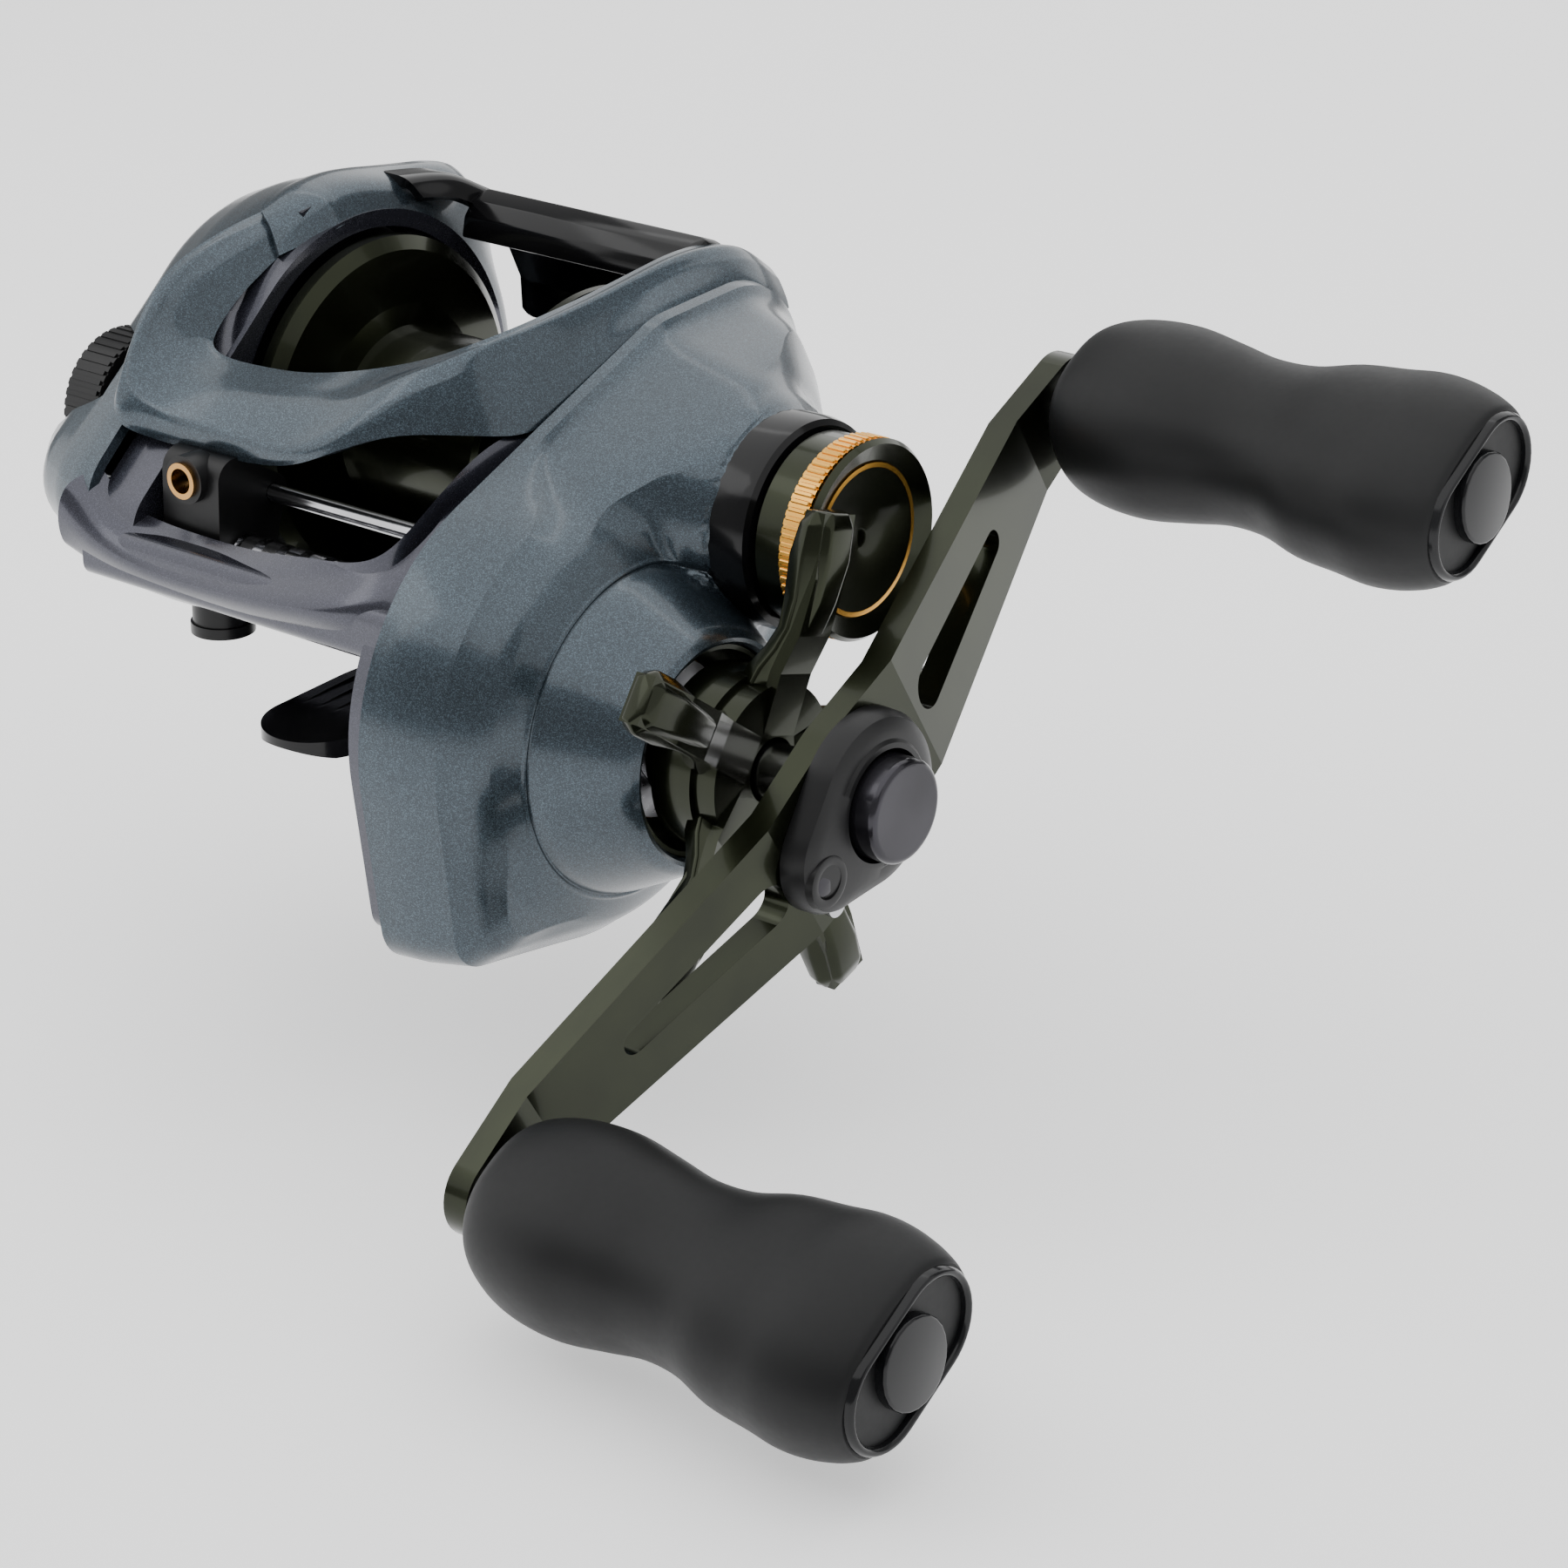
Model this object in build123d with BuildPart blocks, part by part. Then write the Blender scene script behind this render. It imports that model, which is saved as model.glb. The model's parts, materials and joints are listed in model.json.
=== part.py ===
from build123d import *
from math import acos, cos, pi, radians, sin, tan
import os

# Low-profile baitcasting reel with the handle on its left-hand side.
# Frame: origin at the centre of the foot's underside, +X along the spool axis towards the
# handle, -Y towards the line guide (front), +Z from the rod up through the spool. Millimetres.

os.makedirs("parts", exist_ok=True)

# ---------------------------------------------------------------- driving dimensions
SPOOL_AXIS_Z = 22.0          # spool axis above the foot's underside
PRESSURE_ANGLE = radians(20)
DRIVE_MODULE = 0.4           # fine-pitch drive gear pair
DRIVE_TEETH = 96
PINION_TEETH = 13
GEAR_LINE_ANGLE = 48.0       # drive axis lies this far below the horizontal, towards the front
WORM_MODULE = 0.5            # level-wind gear pair
IDLE_TEETH = 36
WORM_TEETH = 21
WORM_LINE_ANGLE = 134.2      # direction from the drive axis to the level-wind worm
BACKLASH = 0.14              # share of each tooth's thickness taken off
HANDLE_RADIUS = 45.0         # drive axis to knob axis, 90 mm knob to knob
HANDLE_ANGLE = 31.9          # rest angle of the upper knob above the rear horizontal
STAR_ARMS = 5
STAR_REACH = 22.5            # drive axis to the tip of a star arm
STAR_ANGLE = 2.0             # rest angle of the first star arm
STAR_DRUM_RADIUS = 8.1
STAR_DRUM_X = 38.4           # inner face of the star's drum
FOOT_HALF_LENGTH = 28.5
FOOT_WIDTH = 10.4
GUIDE_START_X = -10.4        # line guide's place at rest, near the palm end of its travel
EYELET_RADIUS = 1.15         # bore of the line guide's ring

# stations along the spool axis
PALM_FACE_X = -31.5          # outer face of the palm side plate
PALM_SEAM_X = -20.2          # palm plate meets the frame
RING_EDGE_X = -15.0          # inner edge of the frame's palm-side ring
WALL_INNER_X = 14.6          # handle-side frame wall
WALL_OUTER_X = 17.3
COVER_SEAM_X = 17.5          # gear cover meets the frame
GEAR_X = 19.6                # inner face of the drive gear
BOSS_FACE_X = 39.0           # rim of the cover's boss round the drag star
HUB_FACE_X = 54.0            # outer face of the handle's hub
KNOB_END_X = 90.4

RUNNING = 0.05               # radial clearance of a shaft in its bearing
SPOOL_RADIUS = 16.4
ARBOR_RADIUS = 8.6
SHAFT_RADIUS = 1.25
DRIVE_SHAFT_RADIUS = 2.5
GUIDE_ROD_RADIUS = 0.8
WORM_RADIUS = 2.0

# ---------------------------------------------------------------- worked-out axes, as (y, z)
SPOOL_AXIS = (0.0, SPOOL_AXIS_Z)
GEAR_CENTRES = DRIVE_MODULE * (DRIVE_TEETH + PINION_TEETH) / 2
DRIVE_AXIS = (
    -GEAR_CENTRES * cos(radians(GEAR_LINE_ANGLE)),
    SPOOL_AXIS_Z - GEAR_CENTRES * sin(radians(GEAR_LINE_ANGLE)),
)
WORM_CENTRES = WORM_MODULE * (IDLE_TEETH + WORM_TEETH) / 2
WORM_AXIS = (
    DRIVE_AXIS[0] + WORM_CENTRES * cos(radians(WORM_LINE_ANGLE)),
    DRIVE_AXIS[1] + WORM_CENTRES * sin(radians(WORM_LINE_ANGLE)),
)
GUIDE_ROD_AXIS = (-21.0, 21.0)
EYELET_AXIS_Z = 23.3         # height of the line guide's ring
DIAL_AXIS = (-17.4, 24.0)
print("drive axis", DRIVE_AXIS, "worm axis", WORM_AXIS)


# ---------------------------------------------------------------- shared construction
def save(piece, label):
    """Label a finished piece and write it to its own file."""
    piece.part.label = label
    export_step(piece.part, f"parts/{label}.step")


def across(x):
    """Plane square to the spool axis at x; its sketch axes are Y (back) and Z (up)."""
    return Plane.YZ.offset(x)


def beside(axis):
    """Plane through an axis that runs along X; its sketch axes are X and the radius."""
    return Plane(origin=(0, axis[0], axis[1]), x_dir=(1, 0, 0), z_dir=(0, -1, 0))


def along(axis):
    return Axis((0, axis[0], axis[1]), (1, 0, 0))


def turned(axis, outline):
    """Solid of revolution about an axis along X, from (x, radius) corners."""
    with BuildPart() as piece:
        with BuildSketch(beside(axis)):
            with BuildLine():
                Polyline(*outline, close=True)
            make_face()
        revolve(axis=along(axis))
    return piece


def washer(axis, x_start, x_end, bore_radius, outer_radius):
    with BuildPart() as piece:
        with BuildSketch(across(x_start)):
            with Locations(axis):
                Circle(outer_radius)
                Circle(bore_radius, mode=Mode.SUBTRACT)
        extrude(amount=x_end - x_start)
    return piece


def ball_bearing(axis, x_start, x_end, bore_radius, outer_radius):
    """Shielded bearing: a ring with a shallow groove round each face."""
    groove = 0.15
    inner_land = bore_radius + 0.28 * (outer_radius - bore_radius)
    outer_land = bore_radius + 0.72 * (outer_radius - bore_radius)
    return turned(
        axis,
        [
            (x_start, bore_radius), (x_start, inner_land), (x_start + groove, inner_land),
            (x_start + groove, outer_land), (x_start, outer_land), (x_start, outer_radius),
            (x_end, outer_radius), (x_end, outer_land), (x_end - groove, outer_land),
            (x_end - groove, inner_land), (x_end, inner_land), (x_end, bore_radius),
        ],
    )


def outline_sketch(x, circles):
    """Rounded outline square to X: the tight band round circles given as (y, z, radius)."""
    with BuildSketch(across(x)) as outline:
        for y, z, radius in circles:
            with Locations((y, z)):
                Circle(radius)
        make_hull()
    return outline.sketch


def involute(angle):
    return tan(angle) - angle


def gear_points(axis, teeth, module, first_angle):
    """Corners of a spur gear with a tooth centred on first_angle (degrees)."""
    pitch_radius = module * teeth / 2
    base_radius = pitch_radius * cos(PRESSURE_ANGLE)
    tip_radius = pitch_radius + 0.9 * module
    root_radius = pitch_radius - 1.15 * module
    pitch_half = pi / (2 * teeth) * (1 - BACKLASH)

    def half_angle(radius):
        roll = acos(min(1.0, base_radius / radius))
        return pitch_half + involute(PRESSURE_ANGLE) - involute(roll)

    flank = [root_radius, max(base_radius, root_radius + 0.05), pitch_radius, tip_radius]
    points = []
    for tooth in range(teeth):
        centre = radians(first_angle) + 2 * pi * tooth / teeth
        rising = [(radius, centre - half_angle(radius)) for radius in flank]
        falling = [(radius, centre + half_angle(radius)) for radius in reversed(flank)]
        points += rising + falling
    return [(axis[0] + r * cos(a), axis[1] + r * sin(a)) for r, a in points]


def on_handle(x=0.0):
    """Plane square to X on the drive axis; its first axis runs out along the upper arm."""
    angle = radians(HANDLE_ANGLE)
    return Plane(origin=(x, *DRIVE_AXIS), x_dir=(0, cos(angle), sin(angle)), z_dir=(1, 0, 0))


def handle_side():
    """Plane along the handle; its sketch axes are X and the distance along the arm."""
    angle = radians(HANDLE_ANGLE)
    outward = Vector(0, cos(angle), sin(angle))
    return Plane(
        origin=(0, *DRIVE_AXIS), x_dir=(1, 0, 0), z_dir=Vector(1, 0, 0).cross(outward)
    )


def yoke_plane(x):
    """Plane square to X on the spool axis; its first axis runs along the clutch yoke."""
    angle = radians(90 + GEAR_LINE_ANGLE)
    return Plane(origin=(x, *SPOOL_AXIS), x_dir=(0, cos(angle), sin(angle)), z_dir=(1, 0, 0))


def knob_axis(side):
    """Axis of a handle knob as (y, z); side is +1 for the upper knob, -1 for the lower."""
    angle = radians(HANDLE_ANGLE)
    return (
        DRIVE_AXIS[0] + side * HANDLE_RADIUS * cos(angle),
        DRIVE_AXIS[1] + side * HANDLE_RADIUS * sin(angle),
    )


# ---------------------------------------------------------------- outlines of the housings
FRONT_CORNER = (-30.0, -9.4)     # squared lower front of the gear case
REAR_SHOULDER = (14.5, 26.6)


def gear_case(inset):
    """Circles whose hull is the side outline of the gear case, pulled in by inset."""
    return [
        (*DRIVE_AXIS, 21.6 - inset),
        (2.0, 14.5, 18.8 - inset),
        (*FRONT_CORNER, 4.2 - min(inset, 3.9)),
        (*REAR_SHOULDER, 6.6 - min(inset, 6.3)),
    ]


def palm_case(inset):
    """The same for the palm side: the spool's circle, the nose and the rear shoulder."""
    return [
        (*SPOOL_AXIS, 20.6 - inset),
        (-25.2, 19.0, 5.8 - inset),
        (13.4, 33.4, 7.6 - inset),
    ]


# ---------------------------------------------------------------- hood over the line guide
# Cross-sections of the arm along the gear side, as (y, [(x, z), ...])
HOOD_ARM = [
    (-23.0, [(12.0, 34.2), (16.6, 30.8), (16.0, 29.4), (12.0, 32.4)]),
    (-12.0, [(13.4, 37.3), (17.0, 31.0), (16.6, 29.6), (13.4, 35.6)]),
    (2.0, [(13.4, 38.3), (20.0, 33.2), (19.6, 31.8), (13.4, 36.7)]),
    (19.0, [(13.4, 38.6), (23.6, 34.9), (23.2, 33.5), (13.4, 37.0)]),
]
with BuildPart() as top_hood:
    with BuildSketch(across(-19.8)):
        with BuildLine():
            Polyline(
                (-25.4, 25.9), (-26.5, 27.2), (-25.6, 29.8), (-22.8, 33.2), (-20.4, 34.8),
                (-19.4, 33.6), (-21.6, 32.0), (-24.0, 29.3), (-24.8, 27.0), (-24.4, 25.9),
                close=True,
            )
        make_face()
    extrude(amount=35.4)
    # cheek that wraps back over the palm-side ring
    with BuildSketch(across(-19.8)):
        with Locations(SPOOL_AXIS):
            Circle(20.8)
        with Locations((-23.0, 29.0)):
            Circle(3.4)
        make_hull()
        with Locations(SPOOL_AXIS):
            Circle(18.7, mode=Mode.SUBTRACT)
        with Locations((-18.0, 35.4)):
            Rectangle(22.0, 19.0, mode=Mode.INTERSECT)
    extrude(amount=4.2)
    for section_y, corners in HOOD_ARM:
        with BuildSketch(Plane.XZ.offset(-section_y)):
            with BuildLine():
                Polyline(*corners, close=True)
            make_face()
    loft(ruled=True)
save(top_hood, "top_hood")

# ---------------------------------------------------------------- main frame
RING_BORE = 16.9
with BuildPart() as main_frame:
    # handle-side wall
    extrude(outline_sketch(WALL_INNER_X, gear_case(1.8)), amount=WALL_OUTER_X - WALL_INNER_X)
    # palm-side ring, with its raised lip over the top and rear
    with BuildSketch(across(-20.0)):
        with Locations(SPOOL_AXIS):
            Circle(18.5)
        with Locations((-26.0, 17.4)):
            Circle(4.6)
        make_hull()
    extrude(amount=20.0 + RING_EDGE_X)
    with BuildSketch(across(-20.0)):
        with BuildLine():
            CenterArc(SPOOL_AXIS, 20.6, -95, 203)
            CenterArc(SPOOL_AXIS, 18.0, -95, 203)
            for bearing_angle in (-95, 108):
                turn = radians(bearing_angle)
                Line(
                    (20.6 * cos(turn), SPOOL_AXIS_Z + 20.6 * sin(turn)),
                    (18.0 * cos(turn), SPOOL_AXIS_Z + 18.0 * sin(turn)),
                )
        make_face()
    extrude(amount=3.4)
    # front bar under the line guide
    with BuildSketch(across(-20.0)):
        with Locations((-30.3, 15.7)):
            RectangleRounded(3.6, 5.0, 1.4)
    extrude(amount=20.0 + WALL_OUTER_X)
    # floor under the spool and pillar behind it
    for start_angle, sweep_angle in ((228, 84), (-24, 30)):
        with BuildSketch(across(-20.0)):
            with BuildLine():
                CenterArc(SPOOL_AXIS, 19.2, start_angle, sweep_angle)
                CenterArc(SPOOL_AXIS, 17.1, start_angle, sweep_angle)
                for bearing_angle in (start_angle, start_angle + sweep_angle):
                    turn = radians(bearing_angle)
                    Line(
                        (19.2 * cos(turn), SPOOL_AXIS_Z + 19.2 * sin(turn)),
                        (17.1 * cos(turn), SPOOL_AXIS_Z + 17.1 * sin(turn)),
                    )
            make_face()
        extrude(amount=20.0 + WALL_INNER_X)
    # saddle that carries the foot
    with BuildSketch(Plane.XY.offset(2.4)):
        Rectangle(11.0, 22.0)
    extrude(amount=2.4)
    # spool opening in the palm ring
    with BuildSketch(across(-20.0)):
        with Locations(SPOOL_AXIS):
            Circle(RING_BORE)
    extrude(amount=20.0 + WALL_INNER_X, mode=Mode.SUBTRACT)
    # seats in the handle-side wall: pinion, drive shaft, worm, and clearance for the bar's tongue
    with BuildSketch(across(WALL_INNER_X)):
        for seat_axis, seat_radius in (
            (SPOOL_AXIS, 4.0),
            (DRIVE_AXIS, 5.0),
            (WORM_AXIS, 3.2),
            (GUIDE_ROD_AXIS, GUIDE_ROD_RADIUS),
        ):
            with Locations(seat_axis):
                Circle(seat_radius)
        with BuildLine():
            Polyline(
                (9.0, 29.0), (13.0, 29.0), (15.0, 25.4), (15.0, 22.4), (11.2, 22.4),
                (9.0, 26.0), close=True,
            )
        make_face()
    extrude(amount=WALL_OUTER_X - WALL_INNER_X, mode=Mode.SUBTRACT)
    with BuildSketch(across(-20.0)):
        with Locations(GUIDE_ROD_AXIS):
            Circle(GUIDE_ROD_RADIUS)
        with Locations(WORM_AXIS):
            Circle(3.2)
    extrude(amount=20.0 + RING_EDGE_X, mode=Mode.SUBTRACT)
    # holes for the two foot screws
    with Locations((0, -7.5, 0), (0, 7.5, 0)):
        Cylinder(0.95, 20.0, mode=Mode.SUBTRACT)
    add(top_hood.part, mode=Mode.SUBTRACT)
save(main_frame, "main_frame")

# ---------------------------------------------------------------- foot and its screws
with BuildPart() as reel_foot:
    with BuildSketch(Plane.XY):
        with Locations((0, 0)):
            SlotOverall(2 * FOOT_HALF_LENGTH, FOOT_WIDTH, rotation=90)
    extrude(amount=2.3)
    # ends thin down towards their tips
    for side in (-1, 1):
        with BuildSketch(Plane.YZ.offset(-FOOT_WIDTH)):
            with BuildLine():
                Polyline(
                    (side * 13.0, 2.4), (side * (FOOT_HALF_LENGTH + 1), 1.5),
                    (side * (FOOT_HALF_LENGTH + 1), 3.0), (side * 13.0, 3.0), close=True,
                )
            make_face()
        extrude(amount=2 * FOOT_WIDTH, mode=Mode.SUBTRACT)
        # hollow underside that follows the rod's reel seat
        seat_curve = 14.0
        with BuildSketch(Plane.XZ.offset(-side * 9.0)):
            with Locations((0, 0.75 - seat_curve)):
                Circle(seat_curve)
        extrude(amount=-side * 25.0, mode=Mode.SUBTRACT)
    # grip grooves along the front tab
    with BuildSketch(Plane.XZ.offset(14.0)):
        for groove in range(-2, 3):
            with Locations((groove * 1.8, 2.35)):
                Circle(0.42)
    extrude(amount=12.0, mode=Mode.SUBTRACT)
    with Locations((0, -7.5, 0), (0, 7.5, 0)):
        Cylinder(1.0, 20.0, mode=Mode.SUBTRACT)
    with Locations((0, -7.5, 0.6), (0, 7.5, 0.6)):
        Cylinder(1.9, 1.4, mode=Mode.SUBTRACT)
save(reel_foot, "reel_foot")

with BuildPart() as foot_screws:
    for screw_y in (-7.5, 7.5):
        with BuildSketch(Plane.XY.offset(0.3)):
            with Locations((0, screw_y)):
                Circle(1.8)
                Rectangle(2.4, 0.5, mode=Mode.SUBTRACT)
        extrude(amount=0.4)
        with BuildSketch(Plane.XY.offset(0.7)):
            with Locations((0, screw_y)):
                Circle(1.8)
        extrude(amount=0.5)
        with BuildSketch(Plane.XY.offset(1.2)):
            with Locations((0, screw_y)):
                Circle(0.9)
        extrude(amount=3.4)
save(foot_screws, "foot_screws")

# ---------------------------------------------------------------- gear cover (handle side)
with BuildPart() as gear_cover:
    for cover_x, cover_inset in ((COVER_SEAM_X, 0.0), (24.0, 0.4), (29.5, 6.0)):
        add(outline_sketch(cover_x, gear_case(cover_inset)))
    loft(ruled=True)
    # conical boss round the star drag and collar under the cast control
    for boss_axis, boss_outline in (
        (DRIVE_AXIS, [(26.0, 0), (26.0, 17.0), (29.0, 15.4), (BOSS_FACE_X, 9.7), (BOSS_FACE_X, 0)]),
        (
            SPOOL_AXIS,
            [(24.0, 0), (24.0, 11.2), (31.0, 11.0), (36.0, 9.6), (37.6, 9.6), (37.6, 6.9),
             (40.6, 6.9), (40.6, 0)],
        ),
    ):
        with BuildSketch(beside(boss_axis)):
            with BuildLine():
                Polyline(*boss_outline, close=True)
            make_face()
        revolve(axis=along(boss_axis))
    # hollow for the gear train
    for cover_x, cover_inset in ((COVER_SEAM_X, 1.4), (24.3, 1.6), (27.0, 5.4)):
        add(outline_sketch(cover_x, gear_case(cover_inset)))
    loft(ruled=True, mode=Mode.SUBTRACT)
    # pocket for the clutch yoke and its springs
    with BuildSketch(yoke_plane(22.0)):
        SlotOverall(18.4, 6.2)
    extrude(amount=8.1, mode=Mode.SUBTRACT)
    # bores: one-way clutch, drag sleeve and star recess; pinion bearing and spool bearing
    for bore_axis, bore_outline in (
        (
            DRIVE_AXIS,
            [(26.0, 0), (26.0, 7.0), (33.5, 7.0), (33.5, 5.6), (35.0, 5.6), (35.0, 8.7),
             (41.0, 8.7), (41.0, 0)],
        ),
        (
            SPOOL_AXIS,
            [(26.0, 0), (26.0, 3.6), (30.2, 3.6), (30.2, 4.0), (32.4, 4.0), (32.4, 3.0),
             (34.2, 3.0), (34.2, 3.5), (38.0, 3.5), (38.0, 2.4), (42.0, 2.4), (42.0, 0)],
        ),
    ):
        with BuildSketch(beside(bore_axis)):
            with BuildLine():
                Polyline(*bore_outline, close=True)
            make_face()
        revolve(axis=along(bore_axis), mode=Mode.SUBTRACT)
    add(top_hood.part, mode=Mode.SUBTRACT)
save(gear_cover, "gear_cover")

COVER_SCREW_PLACES = [(-29.6, -5.6), (12.0, 4.0), (-2.0, -3.3)]
with BuildPart() as cover_screws:
    for screw_place in COVER_SCREW_PLACES:
        with BuildSketch(across(13.2)):
            with Locations(screw_place):
                Circle(1.5)
        extrude(amount=1.3)
        with BuildSketch(across(13.2)):
            with Locations(screw_place):
                Rectangle(2.2, 0.5)
        extrude(amount=0.5, mode=Mode.SUBTRACT)
save(cover_screws, "cover_screws")

# ---------------------------------------------------------------- palm side plate and brake
with BuildPart() as palm_side_plate:
    for plate_x, plate_inset in ((PALM_SEAM_X, 0.0), (-25.5, 0.6), (PALM_FACE_X, 4.6)):
        add(outline_sketch(plate_x, palm_case(plate_inset)))
    loft(ruled=True)
    for plate_x, plate_inset in ((PALM_SEAM_X, 1.5), (-25.5, 2.1), (-29.8, 5.2)):
        add(outline_sketch(plate_x, palm_case(plate_inset)))
    loft(ruled=True, mode=Mode.SUBTRACT)
    with BuildSketch(across(-30.6)):
        with Locations(DIAL_AXIS):
            Circle(7.3)
    extrude(amount=5.2, mode=Mode.SUBTRACT)
save(palm_side_plate, "palm_side_plate")

# plate that closes the frame ring and carries the spool bearing and the brake drum
brake_housing = turned(
    SPOOL_AXIS,
    [
        (-20.3, 12.5), (-20.3, 16.6), (-21.6, 16.6), (-21.6, 4.4), (-24.6, 4.4), (-24.6, 1.6),
        (-24.0, 1.6), (-24.0, 3.5), (-20.9, 3.5), (-20.9, 9.5), (-16.4, 9.5), (-16.4, 10.2),
        (-20.3, 10.2),
    ],
)
save(brake_housing, "brake_housing")
save(ball_bearing(SPOOL_AXIS, -23.9, -21.4, SHAFT_RADIUS + RUNNING, 3.5), "palm_spool_bearing")

with BuildPart() as brake_dial:
    with BuildSketch(across(-30.1)):
        with Locations(DIAL_AXIS):
            Circle(6.9)
            with PolarLocations(6.95, 44):
                Circle(0.2, mode=Mode.SUBTRACT)
    extrude(amount=4.2)
    with BuildSketch(across(-25.9)):
        with Locations(DIAL_AXIS):
            Circle(1.6)
    extrude(amount=1.8)
save(brake_dial, "brake_dial")

# ---------------------------------------------------------------- spool group
spool = turned(
    SPOOL_AXIS,
    [
        (-14.3, 15.4), (-14.3, SPOOL_RADIUS), (-13.2, SPOOL_RADIUS), (-12.3, 15.2),
        (-11.3, 10.4), (-10.6, ARBOR_RADIUS), (10.2, ARBOR_RADIUS), (10.9, 10.4),
        (11.7, 15.2), (12.1, SPOOL_RADIUS), (12.9, SPOOL_RADIUS), (12.9, 15.4),
        (11.6, 9.8), (10.8, 7.6), (2.0, 7.6), (2.0, 3.0), (11.5, 3.0), (11.5, SHAFT_RADIUS),
        (-13.5, SHAFT_RADIUS), (-13.5, 3.0), (-2.0, 3.0), (-2.0, 7.6), (-11.0, 7.6),
        (-12.3, 9.8),
    ],
)
save(spool, "spool")

with BuildPart() as spool_shaft:
    with BuildSketch(across(-23.8)):
        with Locations(SPOOL_AXIS):
            Circle(SHAFT_RADIUS)
    extrude(amount=23.8 + 36.4)
    chamfer(spool_shaft.edges().filter_by(GeomType.CIRCLE), 0.25)
save(spool_shaft, "spool_shaft")

# pin that locks the spool to the pinion while the clutch is in
CLUTCH_PIN_X = 14.9
with BuildPart() as clutch_pin:
    with BuildSketch(Plane.XY.offset(SPOOL_AXIS_Z + SHAFT_RADIUS)):
        with Locations((CLUTCH_PIN_X, 0)):
            Circle(0.4)
    extrude(amount=0.75)
    mirror(about=Plane.XY.offset(SPOOL_AXIS_Z))
save(clutch_pin, "clutch_pins")

BRAKE_BLOCKS = 4
with BuildPart() as brake_rotor:
    with BuildSketch(across(-18.2)):
        with Locations(SPOOL_AXIS):
            Circle(3.2)
            with PolarLocations(0, BRAKE_BLOCKS):
                with Locations((5.4, 0)):
                    Rectangle(6.4, 1.0)
            Circle(SHAFT_RADIUS, mode=Mode.SUBTRACT)
    extrude(amount=1.4)
save(brake_rotor, "brake_rotor")

with BuildPart() as brake_blocks:
    for block in range(BRAKE_BLOCKS):
        turn = radians(360 * block / BRAKE_BLOCKS)
        block_plane = Plane(
            origin=(-17.5, 7.5 * cos(turn), SPOOL_AXIS_Z + 7.5 * sin(turn)),
            x_dir=(1, 0, 0),
            z_dir=(0, cos(turn), sin(turn)),
        )
        with BuildSketch(block_plane):
            Rectangle(2.2, 2.2)
            Rectangle(1.5, 1.1, mode=Mode.SUBTRACT)
        extrude(amount=1.0)
save(brake_blocks, "brake_blocks")

# ---------------------------------------------------------------- pinion, yoke and clutch
with BuildPart() as pinion_gear:
    with BuildSketch(across(14.2)):
        with Locations(SPOOL_AXIS):
            Circle(2.1)
    extrude(amount=17.8)
    gap_angle = 180 + GEAR_LINE_ANGLE
    with BuildSketch(across(18.0)):
        with BuildLine():
            Polyline(
                *gear_points(
                    SPOOL_AXIS, PINION_TEETH, DRIVE_MODULE, gap_angle + 180 / PINION_TEETH
                ),
                close=True,
            )
        make_face()
    extrude(amount=7.4)
    with BuildSketch(across(27.6)):
        with Locations(SPOOL_AXIS):
            Circle(3.0)
    extrude(amount=0.8)
    with BuildSketch(across(14.2)):
        with Locations(SPOOL_AXIS):
            Circle(SHAFT_RADIUS + 0.1)
    extrude(amount=17.8, mode=Mode.SUBTRACT)
    # slot that drops over the clutch pins
    with BuildSketch(across(14.2)):
        with Locations(SPOOL_AXIS):
            Rectangle(1.2, 6.0)
    extrude(amount=1.4, mode=Mode.SUBTRACT)
save(pinion_gear, "pinion_gear")
with BuildPart() as pinion_bearings:
    for bearing_start_x in (15.2, 30.2):
        add(ball_bearing(SPOOL_AXIS, bearing_start_x, bearing_start_x + 2.0, 2.1 + RUNNING, 4.0).part)
save(pinion_bearings, "pinion_bearings")
save(ball_bearing(SPOOL_AXIS, 34.3, 36.3, SHAFT_RADIUS + RUNNING, 3.5), "handle_side_spool_bearing")

YOKE_POST_SPACING = 7.0
yoke_turn = radians(90 + GEAR_LINE_ANGLE)
yoke_posts_at = [
    (
        side * YOKE_POST_SPACING * cos(yoke_turn),
        SPOOL_AXIS_Z + side * YOKE_POST_SPACING * sin(yoke_turn),
    )
    for side in (-1, 1)
]
with BuildPart() as clutch_yoke:
    with BuildSketch(yoke_plane(25.8)):
        SlotOverall(17.6, 5.2)
        Circle(2.3, mode=Mode.SUBTRACT)
        with Locations((0, 2.6)):
            Rectangle(4.6, 5.2, mode=Mode.SUBTRACT)
        with Locations((YOKE_POST_SPACING, 0), (-YOKE_POST_SPACING, 0)):
            Circle(1.0 + RUNNING, mode=Mode.SUBTRACT)
    extrude(amount=1.2)
save(clutch_yoke, "clutch_yoke")

with BuildPart() as yoke_posts:
    for post_axis in yoke_posts_at:
        with BuildSketch(across(WALL_OUTER_X)):
            with Locations(post_axis):
                Circle(1.0)
        extrude(amount=30.0 - WALL_OUTER_X)
        with BuildSketch(across(29.4)):
            with Locations(post_axis):
                Circle(1.6)
        extrude(amount=0.6)
save(yoke_posts, "yoke_posts")

with BuildPart() as yoke_springs:
    for post_axis in yoke_posts_at:
        with BuildLine() as coil:
            Helix(
                pitch=0.32, height=0.8, radius=1.3, center=(28.42, *post_axis),
                direction=(1, 0, 0),
            )
        with BuildSketch(Plane(origin=coil.line @ 0, z_dir=coil.line % 0)):
            Circle(0.14)
        sweep(path=coil.line, is_frenet=True)
save(yoke_springs, "yoke_springs")

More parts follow.
